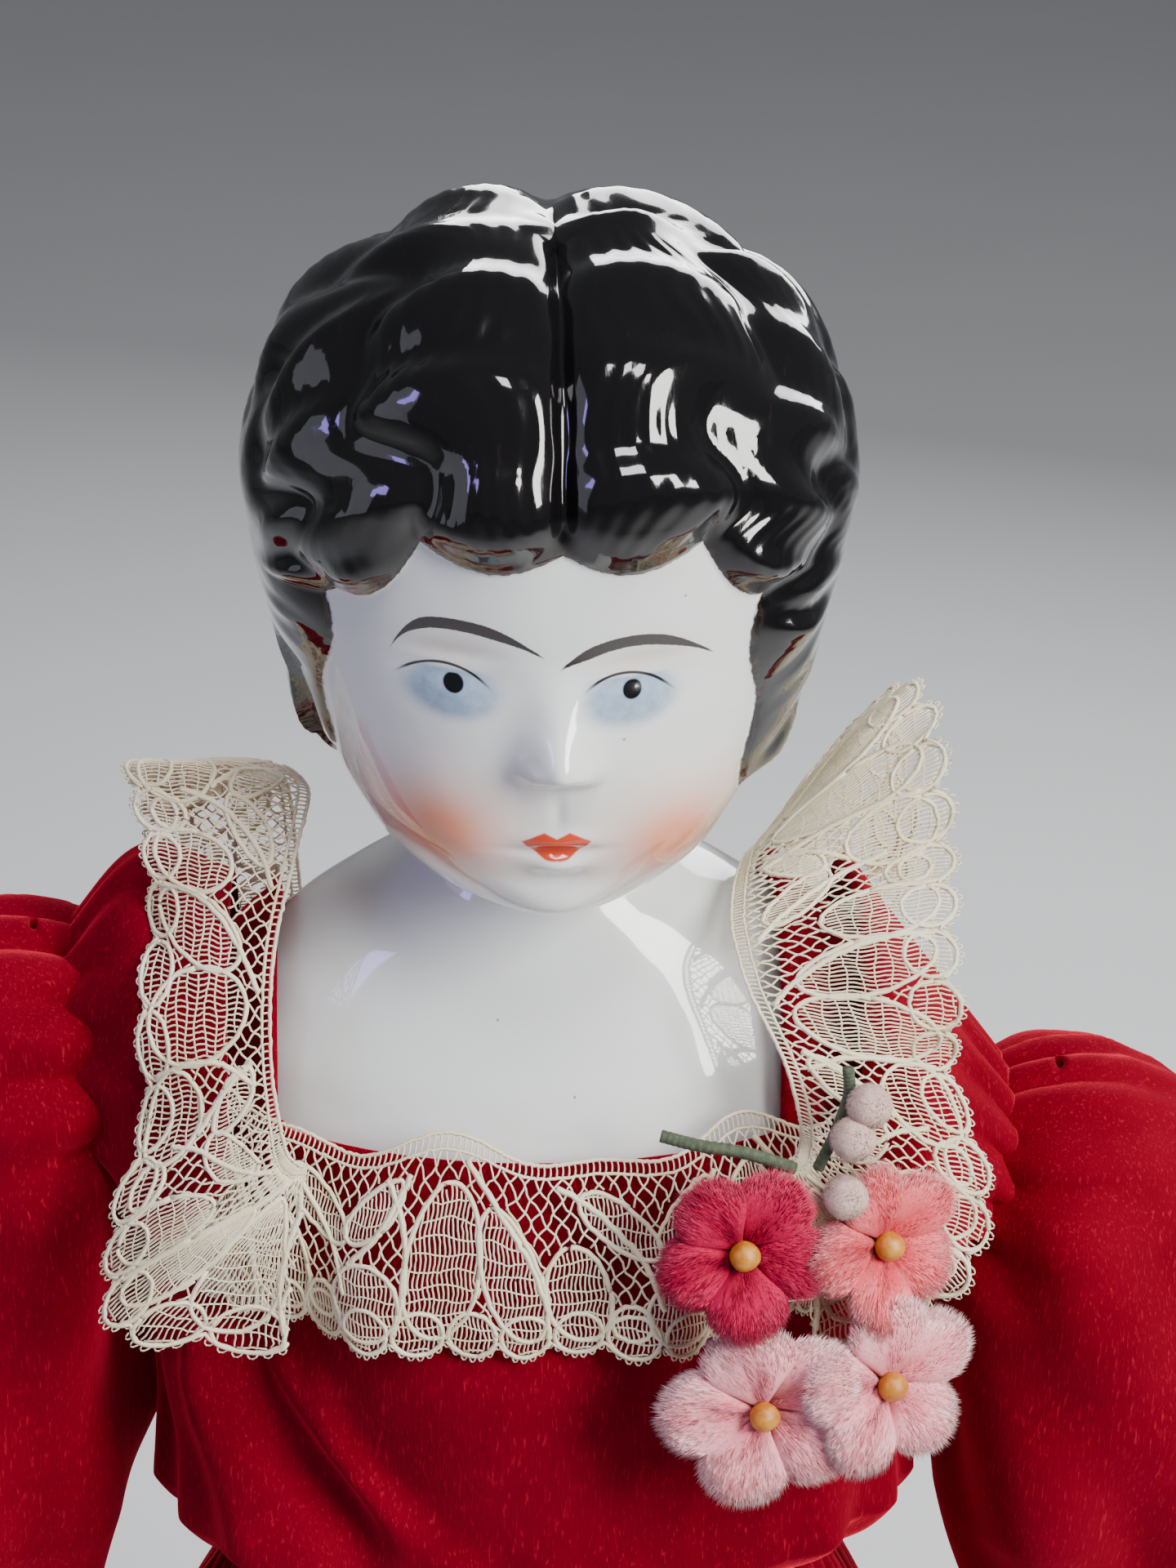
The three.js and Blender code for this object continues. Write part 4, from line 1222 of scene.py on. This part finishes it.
def band_surface(front, length, phase):
    """Across the breast or the back, lying on the velvet with a soft ruffle."""
    half = math.radians(66)

    def surface(u, v):
        angle = (u / length * 2 - 1) * half
        w = v / LACE_WIDTH
        edge = 1.6 * np.sin(u / 6.1 + phase) + 0.9 * np.sin(u / 3.3 + 2 * phase)
        z = NECKLINE_Z + 2.4 - w * 26.5 + edge * (1 - w) ** 2
        ruffle = (np.sin(u / 5.3 + phase) + 0.7 * np.sin(u / 2.9 + 2.1 * phase + w)) * (0.35 + w) * 0.9
        offset = 5.4 + ruffle + 1.6 * np.sin(np.clip(w, 0, 1) * math.pi) - 1.2 * (1 - w) ** 2
        points = around_torso(angle, z, offset)
        points[..., 1] *= 1 if front else -1
        return points

    return surface


def make_lace():
    strips = (
        ("lace_front", "front", BAND, 3, band_surface(True, BAND, 0.4)),
        ("lace_back", "back", BAND, 4, band_surface(False, BAND, 1.9)),
        ("lace_right", "shoulder_right", STRAP, 5, strap_surface(RIGHT, LYING_STRAP, STRAP, 0.7)),
        ("lace_left", "shoulder_left", STRAP, 6, strap_surface(LEFT, STANDING_STRAP, STRAP, 1.6)),
    )
    for node, label, length, seed, surface in strips:
        piece = lace_mesh(f"lace_{label}_threads", length, seed, surface)
        finish_piece(piece, "torso", "lace", node)
        length * MM
    for side, name in SIDES:
        def frill(u, v, side=side):
            angle = u / FRILL * 2 * math.pi
            w = v / LACE_WIDTH
            r = 9.6 + 2.6 * w + 0.9 * np.sin(9 * angle) * w
            local = np.stack([r * np.cos(angle), r * np.sin(angle), -122.8 - 10.5 * w], axis=-1)
            return arm_place(side, local)

        piece = lace_mesh(f"lace_cuff_{name}_threads", FRILL, 10 + side, frill)
        finish_piece(piece, f"arm_{name}", "lace", f"cuff_lace_{name}")


# ---------------------------------------------------------------- corsage

def petal(centre, frame_axes, turn, length, width, cup):
    """A puffed petal as a closed grid, with the directions along and across it."""
    right, up, out = frame_axes
    along = math.cos(turn) * right + math.sin(turn) * up
    across = -math.sin(turn) * right + math.cos(turn) * up
    t = np.linspace(0, 1, 18)[:, None]
    angle = np.linspace(0, 2 * math.pi, 26, endpoint=False)[None, :]
    swell = np.sin(math.pi * np.clip(t, 0.004, 0.996) ** 1.35) ** 0.6
    half = width / 2 * swell * (0.5 + 0.5 * smoothstep(0, 0.55, t))
    thick = 2.1 * np.sqrt(np.clip(1 - np.abs(2 * t - 1) ** 3, 0.01, 1))
    a = half * np.cos(angle)
    o = thick * np.sin(angle) * (1 + 0.15 * np.cos(angle * 3))
    vein = 0.9 * np.exp(-((a / 1.1) ** 2)) * smoothstep(0.9, 0.2, t)
    lift = cup * (t ** 1.6) * 3.2 + 0.14 * a ** 2 * 0.12 - vein
    grid = centre + along * (t * length)[..., None] + across * a[..., None] + out * (o + lift)[..., None]
    return grid, along, across


PILE_FIBRES = 4200
# Painted shade at a fibre's three root points and a painted highlight at its tip.
FIBRE_SHADE = np.array([-0.08, -0.08, -0.08, 0.2])  # a fibre's three root points and its pale tip


def fibres(roots, heading, long, half, first):
    """Thin three-sided spikes, as one run of points and faces that starts at a point number."""
    side = unit(np.cross(heading, np.array([0.31, 0.52, 0.79])))
    lift = np.cross(side, heading)
    tip = roots + heading * np.asarray(long)[:, None]
    points = np.stack([roots + side * half, roots - side * half, roots + lift * half * 1.6, tip], axis=1)
    corner = np.arange(len(roots))[:, None, None] * 4 + first
    faces = corner + np.array([[0, 1, 3], [1, 2, 3], [2, 0, 3], [2, 1, 0]])
    return points.reshape(-1, 3), faces.reshape(-1, 3).tolist()


def facing_axes(facing):
    """The directions right, up and out of a flower that looks along facing."""
    out = unit(np.array(facing, float))
    right = unit(np.cross(np.array([0, 0, 1.0]), -out))
    right = right if right[0] > 0 else -right
    up = unit(np.cross(out, right))
    return right, (up if up[2] > 0 else -up), out


def petal_pile(random, grid, edge_sheen, normal, along, across, out, first):
    """Combed fibres over the front of a petal: their points, faces and shades."""
    columns = grid.shape[1]
    flat = grid.reshape(-1, 3)
    pick = random.integers(0, len(flat) - columns, PILE_FIBRES)
    slide, step = random.random((2, PILE_FIBRES, 1))
    beside = pick - pick % columns + (pick + 1) % columns
    inner = flat[pick] * (1 - step) + flat[beside] * step
    outward = flat[pick + columns] * (1 - step) + flat[beside + columns] * step
    roots = inner * (1 - slide) + outward * slide
    combed = along + across * random.normal(0, 0.16, PILE_FIBRES)[:, None]
    heading = unit(combed + normal[pick] * random.uniform(0.12, 0.5, PILE_FIBRES)[:, None])
    long = random.uniform(0.8, 1.9, PILE_FIBRES)
    # Each fibre takes the petal's painted edge sheen where it grows, plus a random streak.
    streak = edge_sheen[pick] * 0.75 + random.normal(0, 0.22, PILE_FIBRES)
    front = normal[pick] @ out > -0.35
    points, faces = fibres(roots[front], heading[front], long[front], 0.05, first)
    return points, faces, (streak[front][:, None] + FIBRE_SHADE).ravel()


def make_flower(name, colour, place, facing, spin, seed, cups, size):
    """Five puffed petals covered in pile. The pile attribute runs from a petal's dark heart to its pale edge,
    which is painted sheen, and the fibres' tips carry painted highlights.
    """
    random = np.random.default_rng(seed)
    centre = np.array(place, float)
    axes = facing_axes(facing)
    out = axes[2]
    points, faces, shade, count = [], [], [], 0
    for k in range(5):
        turn = spin + k * 2 * math.pi / 5 + random.normal(0, 0.06)
        length, width = size * random.uniform(10.2, 11.0), size * random.uniform(8.9, 9.9)
        base = centre + out * (0.9 * (k % 2) + 0.3 * (k % 3))
        grid, along, across = petal(base, axes, turn, length, width, cups[k])
        rows, columns = grid.shape[:2]
        points.append(grid.reshape(-1, 3))
        faces += closed_faces(rows, columns, count)
        count += rows * columns
        normal = unit(grid - grid.mean(axis=1, keepdims=True)).reshape(-1, 3)
        outer = np.repeat(np.linspace(0, 1, rows), columns)
        # Painted sheen: paler towards the tip and along the sides, where the puffed petal turns away from the
        # front.
        edge_sheen = np.clip(0.75 * outer ** 1.5 + 0.45 * np.abs(normal @ across) ** 3, 0, 1)
        more, more_faces, more_shade = petal_pile(random, grid, edge_sheen, normal, along, across, out, count)
        points.append(more)
        faces += more_faces
        shade += [edge_sheen * 0.7, more_shade]
        count += len(more)
    piece = make_mesh(f"velvet_flower_{name}", np.concatenate(points), faces, PETALS[colour])
    piece.data.attributes.new("pile", "FLOAT", "POINT").data.foreach_set("value", np.concatenate(shade))
    finish_piece(piece, "torso", f"petal_{colour}", f"flower_{name}")
    return centre, out


def ball(name, place, radius, material, node, slot, pile=0, seed=1):
    """A round bead or a flocked bud, slightly uneven."""
    random = np.random.default_rng(seed)
    t = np.linspace(0.02, math.pi - 0.02, 26)[:, None]
    angle = np.linspace(0, 2 * math.pi, 36, endpoint=False)[None, :]
    r = radius * (1 + 0.03 * np.sin(3 * angle + 2) * np.sin(t) + 0.02 * np.sin(5 * t))
    across = r * np.sin(t)
    grid = np.stack([across * np.cos(angle), across * np.sin(angle), r * np.cos(t) + 0 * angle], axis=-1)
    points = [grid.reshape(-1, 3)]
    faces = [face[::-1] for face in closed_faces(*grid.shape[:2])]
    if pile:
        out = unit(random.normal(0, 1, (pile, 3)))
        heading = unit(out + random.normal(0, 0.5, (pile, 3)))
        long = np.full(pile, 0.4)
        more, more_faces = fibres(out * radius * 0.97, heading, long, 0.05, len(points[0]))
        points.append(more)
        faces += more_faces
    piece = make_mesh(name, np.concatenate(points) + np.array(place), faces, material)
    finish_piece(piece, "torso", slot, node)


def wrapped_stem(node, points, radius):
    t = np.linspace(0, 1, 90)
    path = smooth_curve(points, t)
    wraps = radius * (1 + 0.10 * np.abs(np.sin(t * 60)))
    finish_piece(tubes_mesh(f"taped_{node}", [path], [wraps], STEM_TAPE, sides=14), "torso", "stem", node)


def make_corsage():
    # Name, colour, place, facing, turn, seed, how far each petal cups, and size.
    flowers = (
        ("rose", "rose", (23.4, -39.8, 360.8), (0.05, -1, 0.32), 0.95, 21, (0.6, 0.4, 0.3, 0.5, 0.2), 1.0),
        ("coral", "coral", (41, -35.4, 358.6), (0.55, -1, 0.3), 0.62, 22, (0.9, 0.5, 0.3, 0.8, 0.6), 1.0),
        ("pink_low", "pink", (26.8, -43.6, 339), (-0.05, -1, 0.22), 0.62, 23, (0.5, 0.3, 0.4, 0.2, 0.3), 1.17),
        ("pink_side", "pink", (42, -40.6, 340.6), (0.5, -1, 0.3), 0.3, 24, (0.8, 0.6, 0.3, 0.4, 0.6), 1.12),
    )
    for name, colour, place, facing, spin, seed, cups, size in flowers:
        centre, out = make_flower(name, colour, place, facing, spin, seed, cups, size)
        ball(f"waxed_stamen_{name}", centre + out * 2.6, 1.9, STAMEN_WAX, f"stamen_{name}", "stamen")
    buds = ((36.6, -37.4, 375.4), (36.0, -38.6, 367.6), (38.6, -35.6, 379.0))
    for k, place in enumerate(buds):
        ball(f"flocked_bud_{k + 1}", place, 2.75, BUD_FLOCK, f"bud_{k + 1}", "bud", pile=1500, seed=40 + k)
    across = [(13.4, -33.6, 373.6), (18, -34.6, 372.8), (24, -35.6, 372.2), (30, -35.8, 370)]
    up = [(33, -34.5, 369), (35.0, -33.8, 374), (36.4, -33, 379), (36.2, -32.4, 382.5)]
    wrapped_stem("stem_across", across, 0.75)
    wrapped_stem("stem_up", up, 0.7)


# ---------------------------------------------------------------- finishes

def velvet_material():
    """Deep red pile with a fine upright rib that catches the light in flecks."""
    s = Surface("red_velvet")
    rib_place = f_scaled(s.place, 2.6, 2.6, 0.34)
    rib = f_noise(rib_place, 1.0, 3.0, 0.65)
    broad = f_noise(s.place, 0.045, 3.0, 0.6)
    crushed = f_noise(s.place, 0.35, 2.0, 0.5)
    base = f_mix(f_step(0.30, 0.72, broad), (0.128, 0.0003, 0.0070), (0.168, 0.0005, 0.0095))
    # Painted highlight: lighter red flecks where the upright rib catches the light.
    painted_rib_glints = f_step(0.54, 0.74, rib)
    base = f_mix(painted_rib_glints * 0.55, base, (0.42, 0.010, 0.028))
    base = f_mix(f_step(0.62, 0.8, crushed) * 0.2, base, (0.36, 0.003, 0.018))
    s.set(Base_Color=base, Roughness=0.9, Sheen_Weight=1.0, Sheen_Roughness=0.34,
          Sheen_Tint=(1.0, 0.035, 0.080), Specular_IOR_Level=0.03)
    s.relief(rib * 0.7 + f_noise(s.place, 5.0, 2.0) * 0.3, 0.35, 0.5)
    return s.material


def cloth_material(name, light, dark, scale, relief):
    """Plain woven cloth: crossing threads, small slubs and a soft change of tone."""
    s = Surface(name)
    warp = f_sin(s.x * scale) * f_sin(s.z * scale) + f_sin(s.y * scale) * f_sin(s.z * scale)
    slub = f_noise(f_scaled(s.place, 1.0, 1.0, 0.2), 1.1, 3.0)
    tone = f_noise(s.place, 0.08, 3.0)
    base = f_mix(f_step(0.3, 0.7, tone), light, dark)
    base = f_mix(f_step(0.55, 0.8, slub) * 0.3, base, tuple(c * 0.8 for c in dark))
    s.set(Base_Color=base, Roughness=0.9, Sheen_Weight=0.25, Sheen_Roughness=0.5, Specular_IOR_Level=0.2)
    s.relief(warp * 0.25 + slub * 0.5, relief, 0.6)
    return s.material


def lace_material():
    """Cream cotton thread, a little yellower in places."""
    s = Surface("cream_lace_thread")
    twist = f_noise(s.place, 2.4, 2.0)
    tone = f_noise(s.place, 0.11, 3.0)
    base = f_mix(f_step(0.32, 0.68, tone), (0.80, 0.705, 0.515), (0.70, 0.59, 0.385))
    base = f_mix(f_step(0.45, 0.75, twist) * 0.35, base, (0.90, 0.85, 0.72))
    s.set(Base_Color=base, Roughness=0.75, Sheen_Weight=0.3, Sheen_Roughness=0.4, Subsurface_Weight=0.15,
          Subsurface_Scale=0.0008, Specular_IOR_Level=0.3)
    s.relief(twist, 0.08, 0.6)
    return s.material


def petal_material(name, deep, mid, pale):
    """Brushed silk pile, deep in the heart of each petal and pale on its edge and its fibres' tips: painted
    sheen on the edge and painted highlights on the tips.
    """
    s = Surface(name)
    attribute = Field.tree.nodes.new("ShaderNodeAttribute")
    attribute.attribute_name = "pile"
    streak = f_noise(s.place, 1.5, 3.0, 0.7, 0.8)
    patch = f_noise(s.place, 0.22, 2.0)
    pile = Field(attribute.outputs["Fac"]) + (streak - 0.5) * 0.35 + (patch - 0.5) * 0.3
    base = f_mix(f_step(0.02, 0.38, pile), deep, mid)
    base = f_mix(f_step(0.40, 0.95, pile), base, pale)
    s.set(Base_Color=base, Roughness=0.75, Sheen_Weight=0.3, Sheen_Roughness=0.4, Sheen_Tint=pale,
          Specular_IOR_Level=0.1)
    s.relief(streak, 0.15, 0.3)
    return s.material


def plain_china_material(name, boots):
    """White glazed china, with painted black boots where asked."""
    s = Surface(name)
    colour = china_white(s)
    if boots:
        wobble = (f_noise(s.place, 0.7, 2.0) - 0.5) * 0.8
        top = s.z + wobble + f_abs(s.y) * 0.15
        boot = f_step(44.4, 44.0, top)
        colour = f_mix(boot, colour, (0.006, 0.005, 0.006))
        garter = f_step(1.7, 1.4, f_abs(s.z - 96.0))
        colour = f_mix(garter, colour, (0.46, 0.10, 0.12))
    s.set(Base_Color=colour, Roughness=0.15, Coat_Weight=1.0, Coat_Roughness=0.03, Subsurface_Weight=0.05,
          Subsurface_Scale=0.002)
    s.relief(f_noise(s.place, 0.12, 2.0), 0.4, 0.3)
    return s.material


def bead_material(name, light, dark, roughness, relief, scale=0.8):
    s = Surface(name)
    tone = f_noise(s.place, scale, 3.0)
    s.set(Base_Color=f_mix(f_step(0.35, 0.65, tone), light, dark), Roughness=roughness)
    s.relief(f_noise(s.place, scale * 3, 3.0), relief, 0.5)
    return s.material


def metal_material():
    s = Surface("plated_steel_wire")
    tone = f_noise(s.place, 1.2, 4.0)
    s.set(Base_Color=f_mix(tone, (0.52, 0.52, 0.50), (0.68, 0.68, 0.67)), Metallic=1.0,
          Roughness=f_mix_value(tone, 0.22, 0.42))
    s.relief(tone, 0.04, 0.3)
    return s.material


VELVET = velvet_material()
MUSLIN = cloth_material("unbleached_muslin", (0.62, 0.54, 0.38), (0.52, 0.44, 0.30), 7.0, 0.12)
COTTON = cloth_material("white_cotton", (0.80, 0.78, 0.72), (0.72, 0.70, 0.63), 9.0, 0.08)
LACE = lace_material()
PETALS = {
    "rose": petal_material("rose_silk_pile", (0.27, 0.001, 0.022), (0.44, 0.004, 0.052), (0.66, 0.075, 0.15)),
    "coral": petal_material("coral_silk_pile", (0.58, 0.045, 0.065), (0.76, 0.13, 0.15), (0.92, 0.42, 0.42)),
    "pink": petal_material("pink_silk_pile", (0.66, 0.15, 0.19), (0.82, 0.33, 0.37), (0.97, 0.70, 0.69)),
}
PLAIN_CHINA = plain_china_material("white_china", boots=False)
BOOT_CHINA = plain_china_material("booted_china", boots=True)
STAMEN_WAX = bead_material("yellow_wax", (0.52, 0.215, 0.014), (0.40, 0.13, 0.008), 0.45, 0.1)
BUD_FLOCK = bead_material("pinkish_flock", (0.58, 0.39, 0.34), (0.47, 0.33, 0.29), 0.95, 0.15, 1.5)
STEM_TAPE = bead_material("green_floral_tape", (0.075, 0.095, 0.055), (0.045, 0.06, 0.035), 0.85, 0.12, 1.5)
THREAD_WAX = bead_material("waxed_thread", (0.62, 0.55, 0.40), (0.50, 0.43, 0.29), 0.7, 0.08, 2.0)
STEEL = metal_material()


def make_floor():
    s = Surface("pale_floor")
    tone = f_noise(s.place, 0.01)
    s.set(Base_Color=f_mix(tone, (0.60, 0.61, 0.62), (0.63, 0.64, 0.65)), Roughness=0.75)
    corners = [(x * FLOOR_HALF, y * FLOOR_HALF, 0) for x, y in ((-1, -1), (1, -1), (1, 1), (-1, 1))]
    make_mesh("floor", corners, [(0, 1, 2, 3)], s.material)


def keep_node(node, material):
    """A small CAD part stays as it is, with a better material."""
    piece = frame["nodes"][node]
    for slot in piece.material_slots:
        slot.link = "OBJECT"
        slot.material = material


# ---------------------------------------------------------------- making everything

make_camera()
make_lights()
make_head()
make_torso_body()
make_bodice()
make_waistband()
make_petticoat()
make_skirt()
for arm_side, arm_name in SIDES:
    make_upper_arm(arm_side, arm_name)
    make_sleeve(arm_side, arm_name)
    make_sleeve_cap(arm_side, arm_name)
    make_forearm(arm_side, arm_name)
    make_cuff(arm_side, arm_name)
    make_leg(arm_side, arm_name)
make_lace()
make_corsage()
for node in frame["nodes"]:
    if node.startswith(("sewing_thread", "arm_tie", "leg_tie")):
        keep_node(node, THREAD_WAX)
    elif node.startswith(("back_hook", "corsage_pin")):
        keep_node(node, STEEL)

make_floor()
